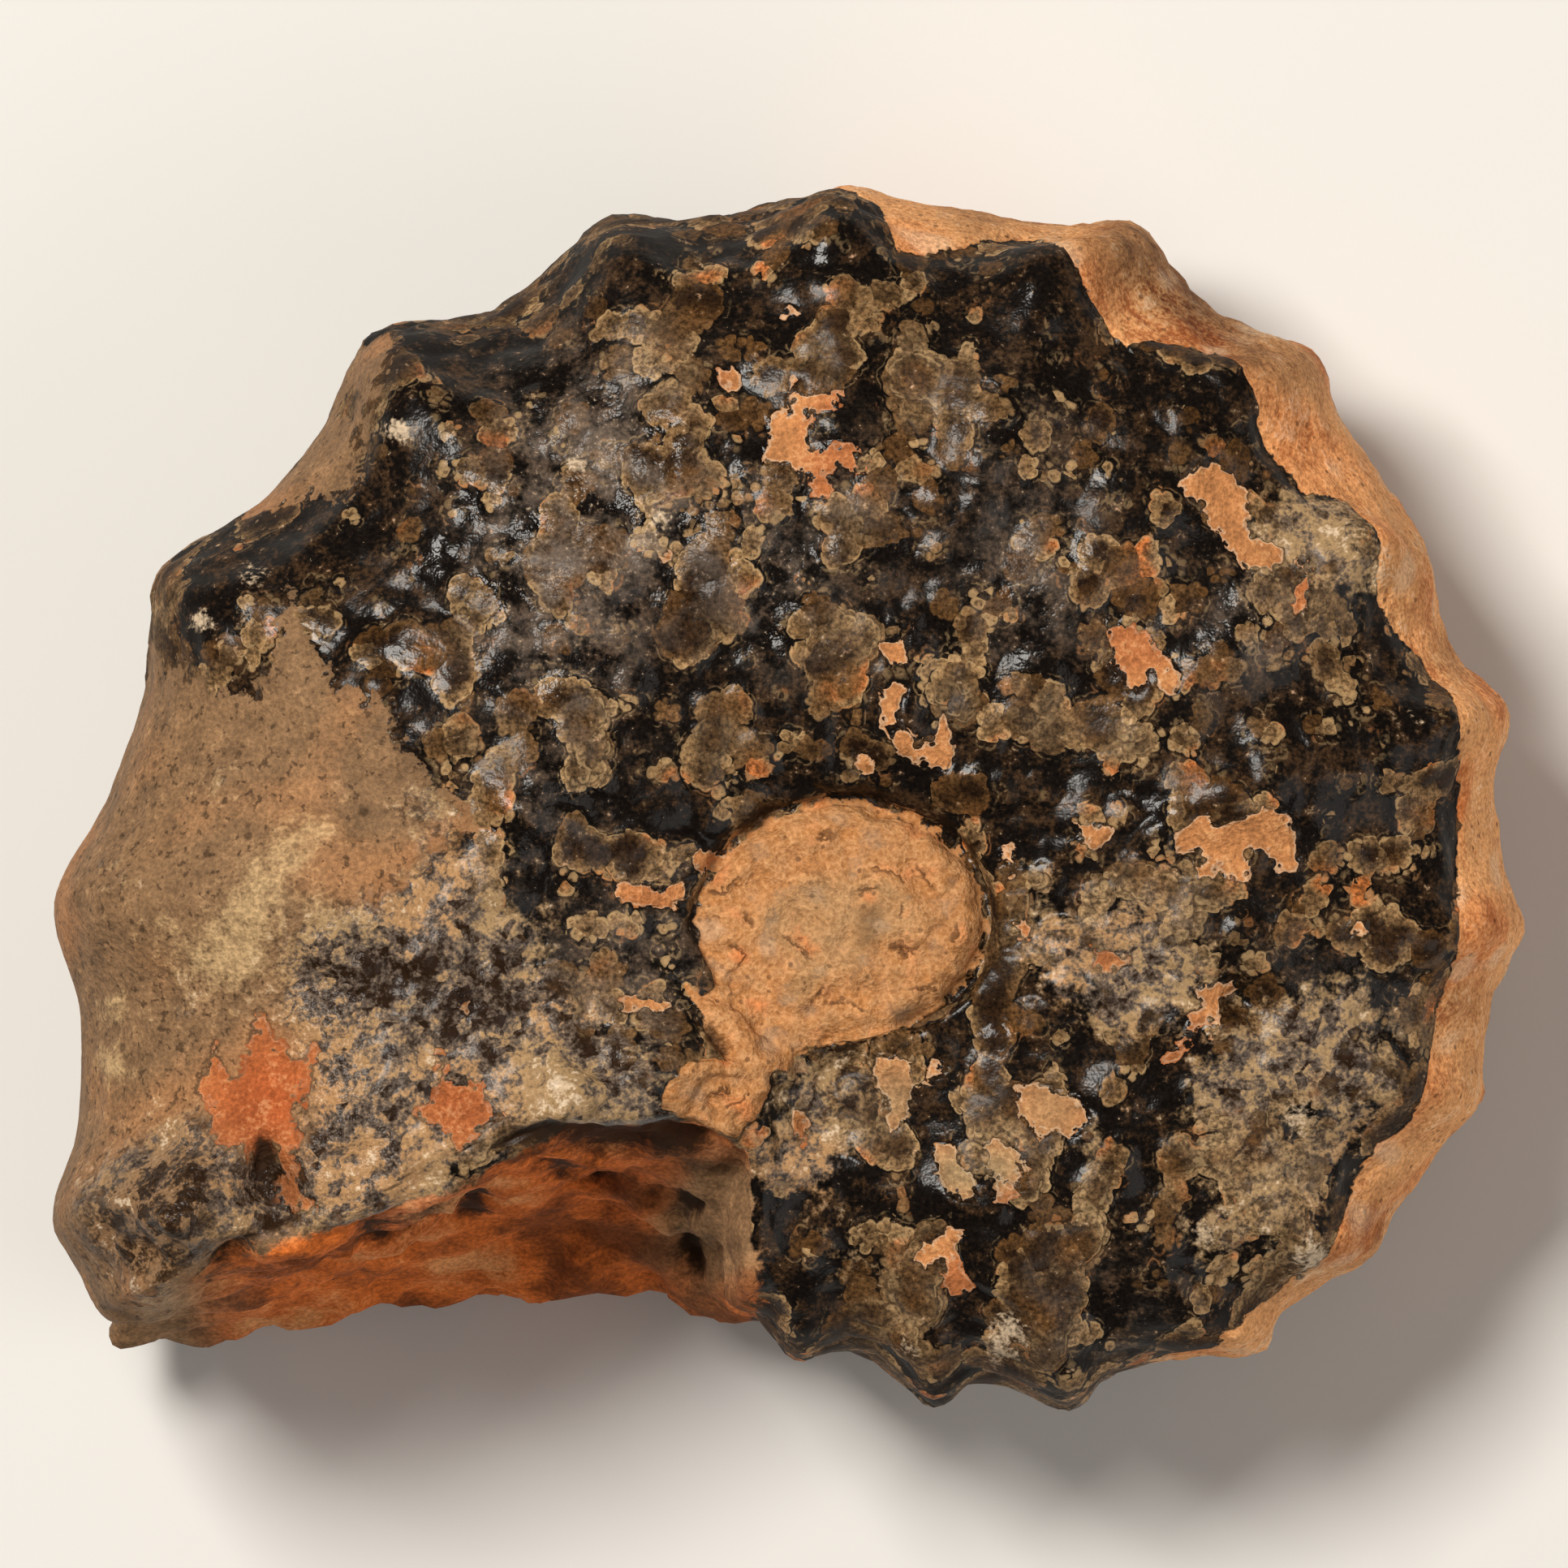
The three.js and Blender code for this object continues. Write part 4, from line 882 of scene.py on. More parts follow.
class Wiring:
    """Short ways to add and join the nodes of one material. A value is a number, a colour or
    another node's output."""

    def __init__(self, name):
        self.material = bpy.data.materials.new(name)
        self.material.use_nodes = True
        self.nodes = self.material.node_tree.nodes
        self.links = self.material.node_tree.links
        self.nodes.clear()
        self.surface = self.nodes.new("ShaderNodeBsdfPrincipled")
        output = self.nodes.new("ShaderNodeOutputMaterial")
        self.links.new(self.surface.outputs["BSDF"], output.inputs["Surface"])
        self.place = self.nodes.new("ShaderNodeTexCoord").outputs["Object"]

    def put(self, value, socket):
        """Links a node's output to the socket, or sets the number or colour on it."""
        if isinstance(value, bpy.types.NodeSocket):
            self.links.new(value, socket)
        elif socket.type == "RGBA":
            socket.default_value = (*value, 1.0)
        else:
            socket.default_value = value

    def field(self, name):
        """One of the fields that the mesh carries on its points."""
        node = self.nodes.new("ShaderNodeAttribute")
        node.attribute_name = name
        return node.outputs["Fac"]

    def maths(self, operation, *values):
        """The operation on up to three values."""
        node = self.nodes.new("ShaderNodeMath")
        node.operation = operation
        for value, socket in zip(values, node.inputs):
            self.put(value, socket)
        return node.outputs[0]

    def plus(self, first, *others):
        """The sum of the values."""
        for other in others:
            first = self.maths("ADD", first, other)
        return first

    def times(self, first, *others):
        """The product of the values."""
        for other in others:
            first = self.maths("MULTIPLY", first, other)
        return first

    def most(self, first, *others):
        """The largest of the values."""
        for other in others:
            first = self.maths("MAXIMUM", first, other)
        return first

    def scaled(self, value, gain, shift=0.0):
        """The value times the gain, plus the shift."""
        return self.maths("MULTIPLY_ADD", value, gain, shift)

    def step(self, value, begins, full):
        """Smooth step: 0 up to begins, 1 from full on. Full may be the lower of the two."""
        node = self.nodes.new("ShaderNodeMapRange")
        node.interpolation_type = "SMOOTHSTEP"
        self.put(value, node.inputs["Value"])
        self.put(begins, node.inputs["From Min"])
        self.put(full, node.inputs["From Max"])
        return node.outputs["Result"]

    def line(self, value, at, half_width):
        """1 where the value is within about half_width of at, falling to 0 at twice that."""
        away = self.maths("ABSOLUTE", self.plus(value, -at))
        return self.step(away, 2 * half_width, 0.6 * half_width)

    def mix(self, kind, first_socket, share, a, b):
        """a where the share is 0, b where it is 1, in proportion between."""
        node = self.nodes.new("ShaderNodeMix")
        node.data_type = kind
        self.put(share, node.inputs[0])
        self.put(a, node.inputs[first_socket])
        self.put(b, node.inputs[first_socket + 1])
        return next(output for output in node.outputs if output.enabled)

    def blend(self, share, a, b):
        """The mix of two colours."""
        return self.mix("RGBA", 6, share, a, b)

    def between(self, share, a, b):
        """The place that share of the way from a to b."""
        return self.mix("VECTOR", 4, share, a, b)

    def over(self, colour, amount, where, top):
        """The colour, with the top colour over it by the amount, and only where it says."""
        return self.blend(self.times(where, amount), colour, top)

    def shade(self, colour, gain):
        """The colour with its brightness multiplied."""
        node = self.nodes.new("ShaderNodeVectorMath")
        node.operation = "SCALE"
        self.put(colour, node.inputs[0])
        self.put(gain, node.inputs["Scale"])
        return node.outputs[0]

    def noise(self, length, detail=2.0, roughness=0.5):
        """Noise with waves about this many mm long, about 0.5 on average."""
        node = self.nodes.new("ShaderNodeTexNoise")
        self.put(self.place, node.inputs["Vector"])
        node.inputs["Scale"].default_value = 1 / (length * MM)
        node.inputs["Detail"].default_value = detail
        node.inputs["Roughness"].default_value = roughness
        return node.outputs["Fac"]

    def cells(self, size, place):
        """Cells of this size in mm, one round each random point: the distance to the nearest
        point in mm, a random pick from 0 to 1 for each cell, and the point's place."""
        node = self.nodes.new("ShaderNodeTexVoronoi")
        self.put(place, node.inputs["Vector"])
        node.inputs["Scale"].default_value = 1 / (size * MM)
        distance = self.times(node.outputs["Distance"], size)
        return distance, self.plus(node.outputs["Color"], 0.0), node.outputs["Position"]


def paint(red, green, blue):
    """Linear colour of display values from 0 to 255."""
    shares = [value / 255 for value in (red, green, blue)]
    return tuple(s / 12.92 if s < 0.04045 else ((s + 0.055) / 1.055) ** 2.4 for s in shares)


# ---- What a user would change ------------------------------------------------------------------


def length(name, default, description):
    """A length that the user may set, in metres."""
    return bpy.props.FloatProperty(
        name=name, description=description, default=default, min=0, unit="LENGTH", precision=5
    )


def tint(name, default, description):
    """A colour that the user may set, its default in display values."""
    return bpy.props.FloatVectorProperty(
        name=name, description=description, default=paint(*default), subtype="COLOR", min=0, max=1
    )


def power(name, default, description):
    """A lamp's power that the user may set, in watts."""
    return bpy.props.FloatProperty(
        name=name, description=description, default=default, min=0, unit="POWER"
    )


class AmmoniteForm(bpy.types.PropertyGroup):
    """How finely the shell is drawn, and how far its own ground stands out"""

    turn_steps: bpy.props.IntProperty(
        name="Steps round", description="Points of the grid in a turn", default=430, min=60
    )
    near_rings: bpy.props.IntProperty(
        name="Near rings", description="Rings from the near umbilicus to the venter",
        default=140, min=20,
    )
    far_rings: bpy.props.IntProperty(
        name="Far rings", description="Rings from the far umbilicus to the venter",
        default=86, min=20,
    )
    lobe_height: length("Lobe height", 0.00028, "How far the calcite bulges in a lobe")
    ground_height: length("Ground height", 0.00007, "Height of the rock's small unevenness")


class AmmoniteColours(bpy.types.PropertyGroup):
    """Colours of the stone"""

    calcite: tint("Calcite", (18, 12, 8), "Dark glossy calcite")
    calcite_brown: tint("Brown calcite", (58, 40, 24), "Calcite that lets some light through")
    # Also the painted shade in the mouth's dark hollows and the painted shadow under its near
    # edge.
    core: tint("Core", (42, 26, 13), "Middle of a suture's leaf, and dark slots")
    amber: tint("Amber", (100, 68, 36), "Inside of a suture's leaf")
    leaf: tint("Leaf", (144, 112, 75), "Edge of a suture's leaf")
    clay: tint("Clay", (162, 132, 94), "Leaves filled with pale clay")
    rim: tint("Rim", (188, 156, 112), "Thin line round a leaf")
    # Grey film, partly crystalline and partly a painted sheen for the lamp's reflection.
    haze_and_sheen: tint("Haze", (124, 109, 96), "Grey crystalline veil")
    # Also the painted highlights on the knobs' tips and the chamber's ridge, and the painted
    # glints.
    chalk_and_highlight: tint("Chalk", (208, 184, 154), "Chalky spots and worn tips")
    island: tint("Island", (202, 135, 82), "Islands of matrix")
    red: tint("Rust", (182, 92, 46), "Where the matrix is rusty")
    crust: tint("Crust", (226, 162, 105), "Matrix on the venter")
    plug: tint("Plug", (184, 128, 74), "Matrix in the umbilicus")
    chamber: tint("Chamber", (134, 102, 71), "Mudstone in the body chamber")
    mouth: tint("Mouth", (204, 106, 43), "Rock in the broken mouth")
    # Painted shade for pits, the plug's cracks and the mouth's darkest patches.
    deep_shade: tint("Depth", (56, 28, 13), "Stained hollows, cracks and pits")


class AmmoniteStage(bpy.types.PropertyGroup):
    """The floor's colour and the strength of the lights"""

    floor: tint("Floor", (226, 224, 220), "Colour of the floor")
    key_power: power("Key power", 4.85, "Large soft light from the upper left")
    fill_power: power("Fill power", 1.2, "Weaker light from the right")
    sky_strength: bpy.props.FloatProperty(
        name="Surround strength", description="Even light from all round", default=0.15, min=0
    )


# ---- Finish ------------------------------------------------------------------------------------
# Here w is the material's wiring. Steps and lines are at distances in mm where they read a
# distance, and at shares where they read noise, a pick, a patch or a wave.


class Rock:
    """The textures that every part of the finish shares: fine grain and ragged noise, the lobes
    with their lobules, the slow waves of tone, the patches, and what is mixed from them."""

    def __init__(self, w):
        self.grain = w.noise(GRAIN, 2.0, 0.7)
        self.ragged = w.noise(RAGGED, 3.0, 0.65)
        self.frayed = w.scaled(self.ragged, 1.0, -0.5)
        self.mottled = w.scaled(self.ragged, 0.9, 0.55)
        self.in_lobule, self.lobule_pick, middle = w.cells(LOBULE, w.place)
        pulled = w.between(LOBULE_PULL, w.place, middle)
        self.in_lobe, self.lobe_pick, _ = w.cells(LOBE, pulled)
        for name in (*TONE_WAVES, "haze_and_sheen", "clay", "chalk_and_highlight", "mottle", "gloom", "tan"):
            setattr(self, name, w.field(name))
        self.red = w.most(w.field("red"), w.times(w.step(self.broad, 0.3, 1.1), 0.5))
        self.soil = w.scaled(w.step(self.grain, 0.25, 0.75), 0.5, 0.75)
        tone = w.plus(self.ragged, w.scaled(self.grain, 0.5), w.scaled(self.chalk_and_highlight, 0.3))
        self.tone = w.plus(tone, w.scaled(self.coarse, 0.06))
        even = w.plus(w.scaled(self.ragged, 0.5, 0.76), w.scaled(self.coarse, 0.08))
        self.even = w.plus(even, w.scaled(self.lobule_pick, 0.12, -0.06))
        # Painted shade for pits: dark dots in a few of the lobules.
        small = w.step(self.in_lobule, 0.15, 0.08)
        self.pits = w.times(w.step(self.lobule_pick, 0.66, 0.72), small)


class Layer(NamedTuple):
    """A kind of surface over the ones before it: how far it covers them, its colour and its
    roughness, and how far the calcite darkens beside it."""

    share: object
    colour: object
    roughness: float
    shadow: object = None


def leaf_edges(w, rock):
    """Distances to the edge of a suture's leaf, negative inside, without and with its frill. A
    leaf is where the frond field plus the distance to the middle of the nearest lobe is low.
    That distance is looked up from near the middle of the nearest lobule, which gives rows of
    round lobes with cusps between them. The distance to the lobule's middle frills them."""
    lobed = w.plus(w.field("frond"), w.scaled(rock.in_lobe, 0.9, -0.64))
    lobed = w.plus(lobed, w.scaled(rock.ragged, 0.4, -0.2))
    return lobed, w.plus(lobed, w.scaled(rock.in_lobule, 0.5, -0.14))


def leaf_colour(w, rock, colours, lobed):
    """A lobe is dark in the middle and glows paler towards its edge, each by its own amount. The
    clayey ones are pale, with brown scallops between their lobules."""
    core = w.blend(w.step(rock.choice, -0.2, 1.3), colours.core, colours.amber)
    edge = w.over(colours.leaf, 0.7, w.step(rock.choice, 0.5, 1.2), colours.mouth)
    edge = w.blend(w.step(rock.lobe_pick, 0.2, 0.75), colours.amber, edge)
    leaf = w.blend(w.step(lobed, -0.62, 0.1), core, edge)
    leaf = w.shade(leaf, w.scaled(rock.lobe_pick, 0.6, 0.7))
    pale = w.blend(w.step(lobed, -1.3, -0.1), colours.amber, colours.clay)
    scallop = w.step(w.plus(rock.in_lobule, w.scaled(rock.ragged, 0.2)), 0.26, 0.42)
    pale = w.over(pale, 0.6, scallop, colours.calcite_brown)
    pale = w.shade(pale, w.scaled(rock.lobule_pick, 0.5, 0.75))
    clayey = w.times(rock.clay, w.step(rock.lobe_pick, 0.0, 0.4))
    leaf = w.over(leaf, 0.9, clayey, pale)
    return w.shade(leaf, w.scaled(w.field("dark"), -0.5, 1.0))


def suture_lines(w, rock, colours, colour, frill):
    """Draws the sutures' lines over a colour: inside the clayey leaves a dark line and a pale
    arc, a pale thread along every leaf's edge, and a broken echo of it outside."""
    clayey = w.step(rock.clay, 0.2, 0.7)
    colour = w.over(colour, 0.5, w.times(w.line(frill, -0.27, 0.05), clayey), colours.core)
    arcs = w.times(w.line(frill, -0.38, 0.035), clayey)
    rim = w.times(w.line(frill, -0.03, 0.035), w.step(rock.lobe_pick, 0.3, 0.7))
    echo = w.times(w.line(frill, 0.2, 0.03), w.step(rock.ragged, 0.42, 0.6))
    lines = w.most(rim, w.times(arcs, 0.9), w.times(echo, 0.55))
    thread = w.blend(w.step(rock.coarse, 0.3, 1.0), colours.rim, colours.island)
    return w.over(colour, w.scaled(rock.haze_and_sheen, 0.2, 0.4), lines, thread)


def calcite_finish(w, rock, colours):
    """Colour and roughness of the dark calcite with its sutures, a grey film over it in places
    that is partly crystalline and partly a painted sheen, and pale specks that are partly chalky
    and partly painted glints. It is duller on clayey leaves and on steep ground."""
    lobed, frill = leaf_edges(w, rock)
    inside = w.step(frill, 0.04, -0.04)
    speckle = w.step(w.plus(rock.ragged, w.scaled(rock.cloud, 0.08)), 0.45, 0.68)
    dark = w.blend(speckle, colours.calcite, colours.calcite_brown)
    colour = w.blend(inside, dark, leaf_colour(w, rock, colours, lobed))
    colour = w.shade(colour, w.scaled(w.step(rock.grain, 0.28, 0.74), 1.3, 0.35))
    # Painted sheen: a grey film, partly crystalline, over the calcite where its patches lie, for
    # the lamp's reflection on the flank.
    sheen_veil = w.plus(w.scaled(rock.ragged, 0.8), w.scaled(rock.cloud, 0.1))
    sheen_veil = w.step(w.plus(sheen_veil, w.scaled(rock.coarse, 0.08)), 0.28, 0.6)
    colour = w.over(colour, 0.6, w.times(sheen_veil, rock.haze_and_sheen), w.shade(colours.haze_and_sheen, rock.soil))
    colour = suture_lines(w, rock, colours, colour, frill)
    # Painted glints: pale specks, some chalky, with more of them where the grey film lies.
    flecks_and_glints = w.step(w.plus(rock.grain, w.scaled(rock.haze_and_sheen, 0.06)), 0.7, 0.78)
    colour = w.over(colour, 0.5, flecks_and_glints, colours.chalk_and_highlight)
    clayey = w.times(w.times(inside, rock.clay), 0.25)
    roughness = w.plus(w.scaled(rock.cloud, 0.05, 0.24), clayey)
    return colour, w.plus(roughness, w.scaled(w.field("steep"), 0.45))


def chalk_and_highlight_layer(w, rock, colours):
    """Chalky spots, and painted highlights on the knobs' tips and along the chamber's ridge, in
    ragged patches.
    """
    ragged = w.plus(w.scaled(rock.frayed, 2.2, -0.4), w.scaled(rock.grain, 0.8, -0.4))
    share = w.times(w.step(w.plus(rock.chalk_and_highlight, ragged), 0.0, 0.7), 0.85)
    return Layer(share, colours.chalk_and_highlight, 0.6)


def mudstone_layer(w, rock, colours):
    """Mudstone in the body chamber: tan in places, pale with a painted highlight along its ridge,
    and speckled and dotted with brown."""
    mud = w.shade(colours.chamber, w.plus(w.scaled(rock.coarse, 0.14), rock.mottled))
    tan = w.step(w.plus(rock.broad, rock.frayed), 0.0, 1.2)
    mud = w.over(mud, 0.35, tan, colours.island)
    # Painted highlight along the chamber's ridge; fewer brown specks lie under it.
    lit_and_darkened = w.step(w.plus(rock.chalk_and_highlight, w.scaled(rock.frayed, 1.6)), 0.1, 0.95)
    mud = w.over(mud, 0.8, lit_and_darkened, w.shade(colours.rim, rock.mottled))
    specks = w.plus(w.noise(SPECK, 2.0, 0.6), w.times(rock.mottle, 0.14))
    specks = w.times(w.step(specks, 0.59, 0.68), w.scaled(lit_and_darkened, -0.55, 0.7))
    dots = w.times(w.step(rock.lobule_pick, 0.8, 0.86), w.step(rock.in_lobule, 0.28, 0.14))
    dots = w.times(dots, w.step(w.plus(rock.cloud, rock.mottle), 0.1, 0.9))
    mud = w.blend(w.most(specks, w.times(dots, 0.7)), mud, colours.calcite_brown)
    share = w.step(w.plus(w.field("chamber"), w.scaled(rock.frayed, 3.4)), 0.1, -0.12)
    return Layer(share, mud, 0.7)


def mottled_layer(w, rock, colours):
    """Stone of mixed grains, dark, grey, clay or chalk by noise and a pick for each lobule."""
    grains = w.plus(w.scaled(rock.in_lobe, 0.22, -0.18), w.scaled(rock.grain, -0.2, 0.1))
    grains = w.plus(grains, w.scaled(rock.lobule_pick, 0.36, -0.18))
    grains = w.plus(rock.tone, w.times(rock.gloom, -0.2), grains)
    clay = w.over(colours.clay, 0.5, rock.red, colours.island)
    clay = w.blend(rock.tan, clay, colours.chamber)
    grey = w.blend(w.most(rock.tan, 0.35), colours.haze_and_sheen, colours.calcite_brown)
    stone = w.blend(w.step(grains, 0.62, 0.86), grey, clay)
    stone = w.blend(w.step(grains, 0.42, 0.72), colours.core, stone)
    stone = w.over(stone, 0.8, w.step(grains, 0.96, 1.14), colours.chalk_and_highlight)
    share = w.step(w.plus(rock.mottle, w.scaled(rock.frayed, 1.6)), 0.25, 0.75)
    return Layer(share, stone, 0.32)


def island_layer(w, rock, colours):
    """Islands of matrix: their edges bitten by the lobes and lobules, with a pale thread, or
    frayed and softer where the matrix is rusty or tan."""
    bites = w.times(w.step(rock.in_lobe, 0.85, 0.3), 0.36)
    bites = w.plus(bites, w.times(w.step(rock.in_lobule, 0.3, 0.1), 0.2))
    edge = w.plus(w.field("island"), w.scaled(rock.frayed, 0.6), bites, -0.05)
    matrix = w.blend(rock.tan, colours.island, colours.clay)
    matrix = w.blend(rock.red, matrix, colours.red)
    # Painted shade: each lobe is lighter in its middle and darker towards its edge, as if lit as a
    # lump.
    lumps = w.plus(w.scaled(rock.coarse, 0.1), w.scaled(rock.in_lobe, -0.2, 0.08))
    matrix = w.shade(matrix, w.plus(lumps, rock.mottled))
    matrix = w.over(matrix, 0.35, w.step(rock.tone, 0.75, 1.0), colours.rim)
    thread = w.times(w.line(edge, -0.05, 0.035), w.scaled(rock.red, -0.45, 0.45))
    matrix = w.blend(thread, matrix, colours.chalk_and_highlight)
    matrix = w.shade(matrix, w.scaled(rock.gloom, -0.45, 1.0))
    soft = w.most(w.times(rock.red, 0.9), w.times(rock.tan, 0.6))
    soft_edge = w.plus(edge, w.times(w.scaled(rock.frayed, 2.0), soft))
    share = w.step(w.times(soft_edge, w.scaled(soft, -1.0, 1.0)), 0.02, -0.02)
    return Layer(share, matrix, 0.8, w.times(w.step(edge, 0.2, 0.03), 0.6))


def crust_layer(w, rock, colours):
    """Crust of sandy matrix on the venter: rusty, chalky and darker in patches, with painted shade
    for pits.
    """
    sand = w.over(colours.crust, w.step(rock.tone, 0.85, 0.6), rock.red, colours.red)
    sand = w.over(sand, 0.35, w.step(rock.tone, 0.72, 0.5), colours.mouth)
    sand = w.over(sand, 0.5, w.step(rock.tone, 0.86, 1.02), colours.chalk_and_highlight)
    sand = w.over(sand, 0.4, w.step(rock.broad, -0.1, 1.1), colours.mouth)
    # Only darker here, in the gloom patches, and shifted a little by the cloud waves.
    lit_and_darkened = w.plus(w.scaled(rock.cloud, 0.1), w.scaled(rock.gloom, -0.62))
    sand = w.shade(sand, w.plus(rock.even, lit_and_darkened))
    # Painted shade for pits.
    sand = w.over(sand, 0.6, rock.pits, colours.deep_shade)
    sand = w.over(sand, 0.4, w.step(rock.cloud, 0.4, 1.3), colours.chalk_and_highlight)
    edge = w.plus(w.field("crust"), w.scaled(rock.frayed, 0.6))
    return Layer(w.step(edge, 0.02, -0.04), sand, 0.85, w.times(w.step(edge, 0.12, 0.03), 0.5))


def plug_layer(w, rock, colours):
    """Matrix in the umbilicus: blotched, clayey and flaky, dark in the hollow of its middle, with
    painted shade for pits, and with cracks darkened by painted shade where its beds end, which are
    at set distances inside its edge."""
    edge = w.field("plug")
    bed = w.plus(edge, w.scaled(rock.cloud, 0.55), w.scaled(rock.frayed, 1.8))
    matrix = w.blend(w.step(rock.tone, 0.5, 1.0), colours.mouth, colours.chalk_and_highlight)
    matrix = w.blend(0.82, matrix, colours.plug)
    matrix = w.over(matrix, 0.5, w.step(bed, -2.4, -3.6), colours.clay)
    blotch = w.plus(w.scaled(rock.coarse, 0.6), w.scaled(rock.frayed, 2.4))
    matrix = w.over(matrix, 0.55, w.step(blotch, 0.1, 1.2), colours.mouth)
    matrix = w.over(matrix, 0.35, w.step(blotch, -0.2, -1.1), colours.chalk_and_highlight)
    hollow = w.step(w.plus(rock.gloom, w.scaled(rock.frayed, 1.2)), 0.1, 1.0)
    matrix = w.over(matrix, 0.55, hollow, colours.core)
    flaky = w.plus(w.scaled(rock.lobe_pick, 0.2, -0.1), w.scaled(rock.lobule_pick, 0.2, -0.1))
    matrix = w.shade(matrix, w.plus(rock.even, flaky))
    # Painted shade along the cracks where the beds step, and in pits.
    cracks = w.most(*(w.line(bed, at, half_width) for at, half_width in PLUG_CRACKS))
    cracks = w.times(cracks, w.step(rock.coarse, 0.0, 0.5))
    matrix = w.over(matrix, 0.65, cracks, colours.deep_shade)
    matrix = w.over(matrix, 0.5, rock.pits, colours.deep_shade)
    share = w.step(w.plus(edge, w.scaled(rock.frayed, 0.8)), 0.03, -0.05)
    return Layer(share, matrix, 0.85)


def mouth_layer(w, rock, colours):
    """Broken rock of the mouth: rusty, with dark patches of painted shade for its shadowed
    hollows, and tan or chalky in patches.
    """
    rust_and_shade = w.plus(rock.broad, w.scaled(rock.cloud, 0.6), w.scaled(rock.frayed, 2.4))
    bare = w.blend(w.step(rust_and_shade, 0.2, 1.6), colours.mouth, colours.island)
    # Painted shade in the darkest patches of this noise, standing in for shadowed hollows.
    bare = w.over(bare, 0.65, w.step(rust_and_shade, 0.4, -1.4), colours.deep_shade)
    bare = w.blend(rock.tan, bare, w.shade(colours.chamber, rock.mottled))
    bare = w.over(bare, 0.8, rock.chalk_and_highlight, colours.chalk_and_highlight)
    bare = w.shade(bare, w.plus(w.scaled(rock.cloud, 0.15), w.scaled(rock.ragged, 0.8, 0.6)))
    share = w.step(w.plus(w.field("mouth"), w.scaled(rock.frayed, 1.6)), 0.3, 0.7)
    return Layer(share, bare, 0.9)


# In the order that they lie over each other.
LAYERS = (
    chalk_and_highlight_layer, mudstone_layer, mottled_layer, island_layer, crust_layer, plug_layer, mouth_layer,
)


def stone_material(colours):
    """The fossil's one finish: the calcite, then each layer over it, soiled in its grain, and the
    painted shade of the mouth's dark hollows and of the shadow under its near edge. Its bump is
    the ragged noise, highest on matrix and next where the grey film lies."""
    w = Wiring("ammonite_stone")
    rock = Rock(w)
    colour, roughness = calcite_finish(w, rock, colours)
    for make_layer in LAYERS:
        layer = make_layer(w, rock, colours)
        if layer.shadow is not None:
            colour = w.blend(layer.shadow, colour, colours.calcite)
        colour = w.blend(layer.share, colour, w.shade(layer.colour, rock.soil))
        bared = w.times(roughness, w.scaled(layer.share, -1.0, 1.0))
        roughness = w.plus(bared, w.times(layer.share, layer.roughness))
    # Painted shade in the mouth's dark hollows and holes, and the painted shadow under its near
    # edge.
    shaded_slots = w.step(w.plus(w.field("deep_shade"), w.scaled(rock.frayed, 0.8)), 0.25, -0.3)
    colour = w.over(colour, 0.95, shaded_slots, colours.core)

    rough = w.plus(w.scaled(w.field("matrix"), 0.24, 0.06), w.times(rock.haze_and_sheen, 0.1))
    rough = w.plus(rough, w.scaled(w.field("mouth"), -0.16))
    bump = w.nodes.new("ShaderNodeBump")
    bump.inputs["Distance"].default_value = MM
    w.put(w.times(rock.ragged, rough), bump.inputs["Height"])
    w.put(bump.outputs["Normal"], w.surface.inputs["Normal"])
    w.put(colour, w.surface.inputs["Base Color"])
    w.put(roughness, w.surface.inputs["Roughness"])
    w.surface.inputs["IOR"].default_value = 1.46
    w.surface.inputs["Specular IOR Level"].default_value = 0.18
    return w.material


def floor_material(colour):
    """Matt pale floor with the faintest unevenness of tone."""
    w = Wiring("floor_paint")
    tone = w.scaled(w.noise(FLOOR_WAVES), 0.04, 0.98)
    w.put(w.shade(colour, tone), w.surface.inputs["Base Color"])
    w.surface.inputs["Roughness"].default_value = 0.8
    return w.material


# ---- Operators ---------------------------------------------------------------------------------


def linked(name, data):
    """A new object of that name and data, in the scene."""
    thing = bpy.data.objects.new(name, data)
    bpy.context.scene.collection.objects.link(thing)
    return thing


class AMMONITE_OT_add_stone(bpy.types.Operator):
    """Adds the petrified shell in place of the plain solid"""

    bl_idname = "ammonite.add_stone"
    bl_label = "Add petrified shell"

    def execute(self, context):
        points, fields = shell_surface(context.scene.ammonite_form)
        mesh = closed_mesh("ammonite_stone", resting(points) * MM, fields)
        mesh.materials.append(stone_material(context.scene.ammonite_colours))
        stone = linked("ammonite_stone", mesh)
        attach(stone, "root")
        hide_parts("ammonite")
        return {"FINISHED"}


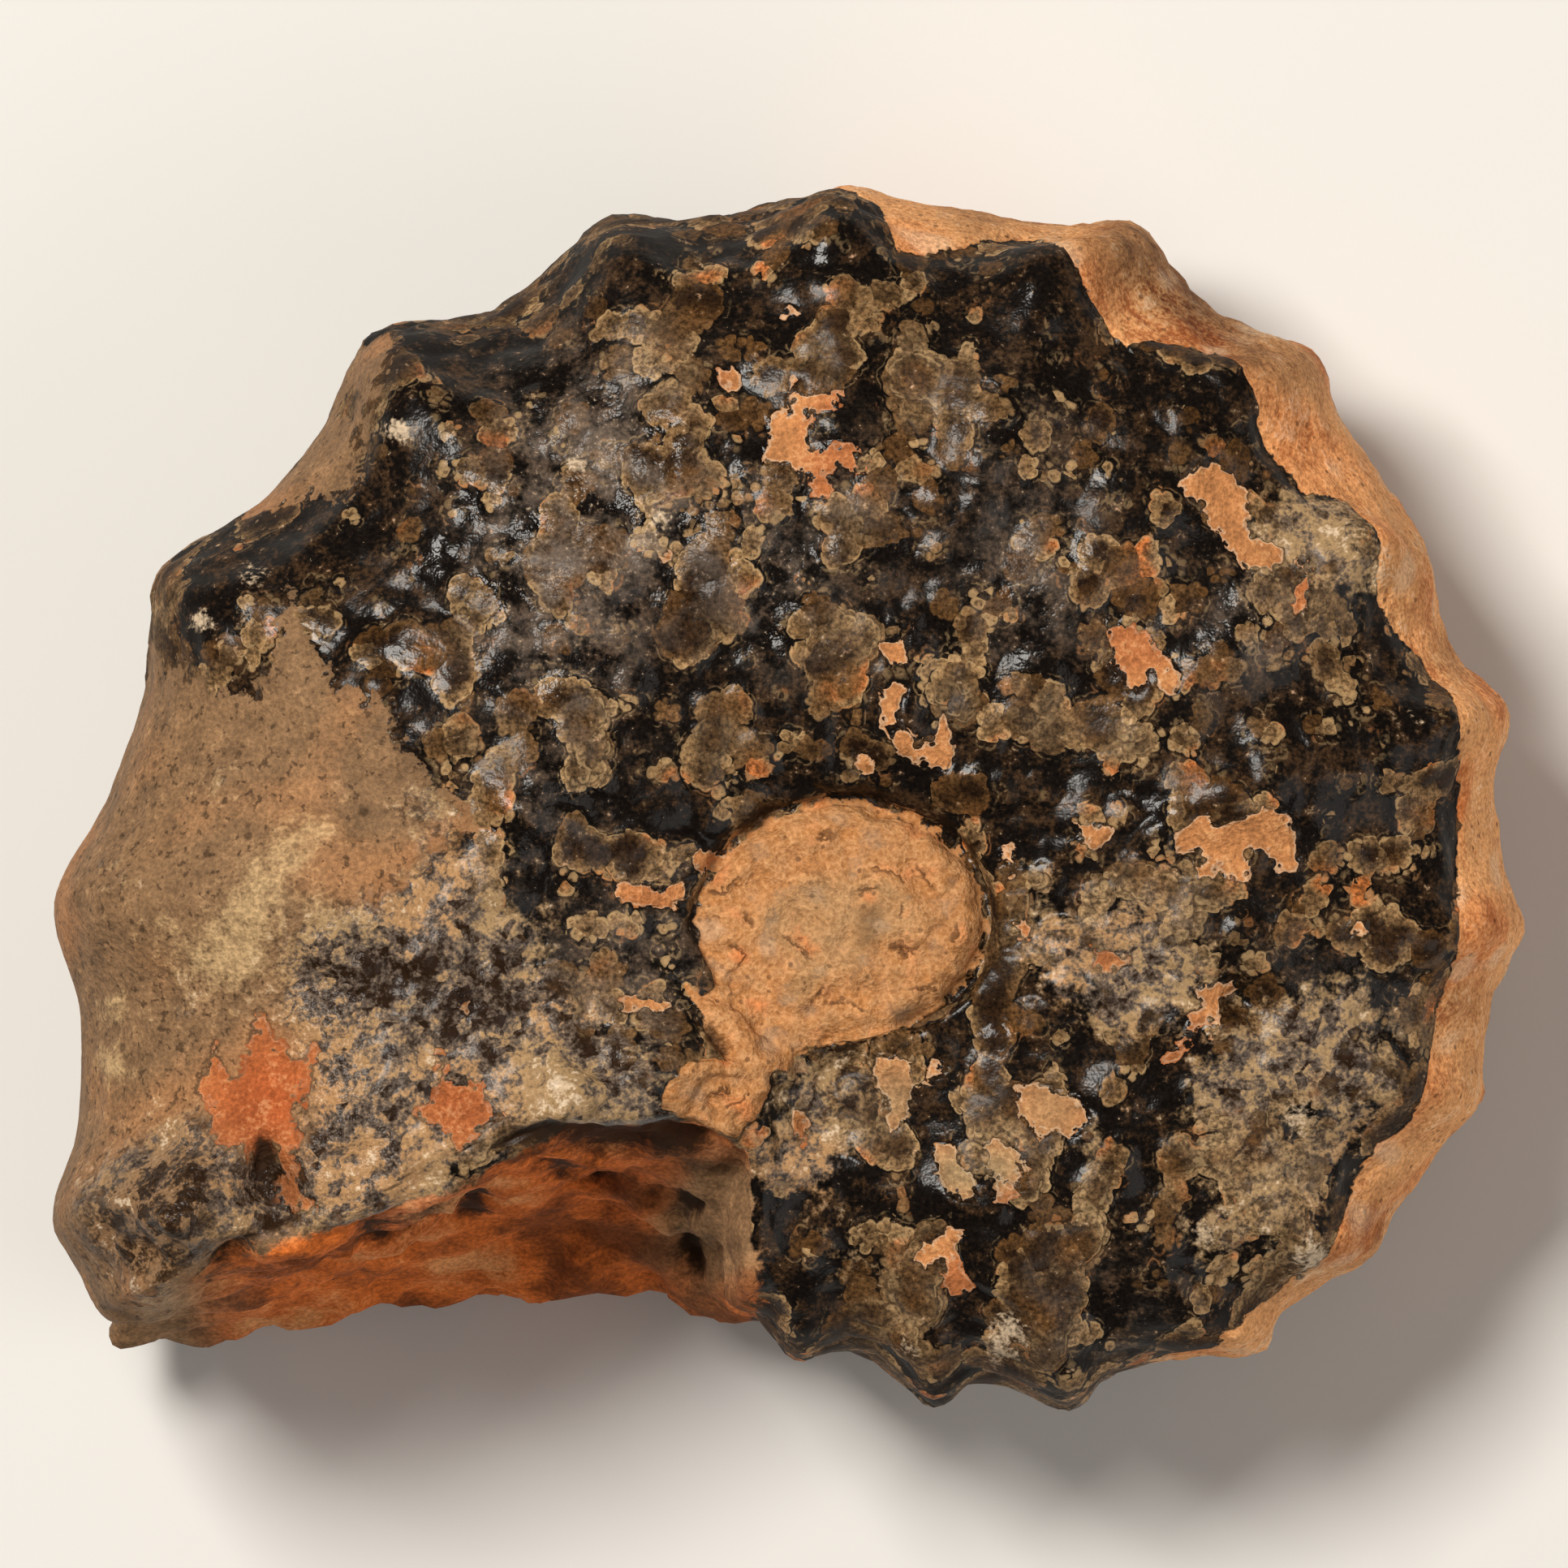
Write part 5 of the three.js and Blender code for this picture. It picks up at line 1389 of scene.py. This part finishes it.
class AMMONITE_OT_add_stage(bpy.types.Operator):
    """Adds the floor, the lights and the camera"""

    bl_idname = "ammonite.add_stage"
    bl_label = "Add stage"

    def execute(self, context):
        stage = context.scene.ammonite_stage
        half = FLOOR_SIZE / 2
        corners = [(-half, -half, 0), (half, -half, 0), (half, half, 0), (-half, half, 0)]
        mesh = bpy.data.meshes.new("floor")
        mesh.from_pydata(corners, [], [(0, 1, 2, 3)])
        mesh.materials.append(floor_material(stage.floor))
        linked("floor", mesh)

        world = bpy.data.worlds.new("surround")
        world.use_nodes = True
        background = world.node_tree.nodes["Background"]
        background.inputs["Color"].default_value = (*SURROUND_COLOUR, 1.0)
        background.inputs["Strength"].default_value = stage.sky_strength
        context.scene.world = world
        self.add_light("key_light", stage.key_power, **KEY_LIGHT)
        self.add_light("fill_light", stage.fill_power, **FILL_LIGHT)
        self.add_camera(context)
        context.scene.view_settings.view_transform = "Standard"
        return {"FINISHED"}

    def add_light(self, name, watts, place, size, colour):
        """A square soft light at a place, facing the object."""
        light = bpy.data.lights.new(name, "AREA")
        light.size = size
        light.energy = watts
        light.color = colour
        lamp = linked(name, light)
        lamp.location = place
        lamp.rotation_euler = Vector(place).to_track_quat("Z", "Y").to_euler()

    def add_camera(self, context):
        """A long lens that looks down on the shell, leaning a little. Its length gives the frame's
        width at the camera's distance."""
        camera = bpy.data.cameras.new("camera")
        camera.lens = camera.sensor_width * CAMERA_DISTANCE / (FRAME_WIDTH * MM)
        leaning = Matrix.Rotation(math.radians(CAMERA_LEAN), 4, "Y")
        middle = Vector(REST_PLACE) + leaning @ Vector((*FRAME_MIDDLE, 0))
        viewer = linked("camera", camera)
        back = Matrix.Translation((0, 0, CAMERA_DISTANCE))
        viewer.matrix_world = Matrix.Translation(middle * MM) @ leaning @ back
        context.scene.camera = viewer


class AMMONITE_PT_panel(bpy.types.Panel):
    """Sizes, colours and pieces of the ammonite fossil"""

    bl_label = "Ammonite fossil"
    bl_space_type = "VIEW_3D"
    bl_region_type = "UI"
    bl_category = "Ammonite"

    def draw(self, context):
        for group in ("ammonite_form", "ammonite_colours", "ammonite_stage"):
            settings = getattr(context.scene, group)
            box = self.layout.box()
            for name in type(settings).__annotations__:
                box.prop(settings, name)
        for operator in OPERATORS:
            self.layout.operator(operator.bl_idname)


GROUPS = {
    "ammonite_form": AmmoniteForm,
    "ammonite_colours": AmmoniteColours,
    "ammonite_stage": AmmoniteStage,
}
OPERATORS = (AMMONITE_OT_add_stone, AMMONITE_OT_add_stage)


def register():
    """Adds the classes, and the settings to the scene."""
    for item in (*GROUPS.values(), *OPERATORS, AMMONITE_PT_panel):
        bpy.utils.register_class(item)
    for name, group in GROUPS.items():
        setattr(bpy.types.Scene, name, bpy.props.PointerProperty(type=group))


def unregister():
    """Takes the settings and the classes away again."""
    for name in GROUPS:
        delattr(bpy.types.Scene, name)
    for item in (AMMONITE_PT_panel, *reversed(OPERATORS), *GROUPS.values()):
        bpy.utils.unregister_class(item)


def main():
    """Builds the scene."""
    register()
    bpy.ops.ammonite.add_stone()
    bpy.ops.ammonite.add_stage()


if __name__ == "__main__":
    main()
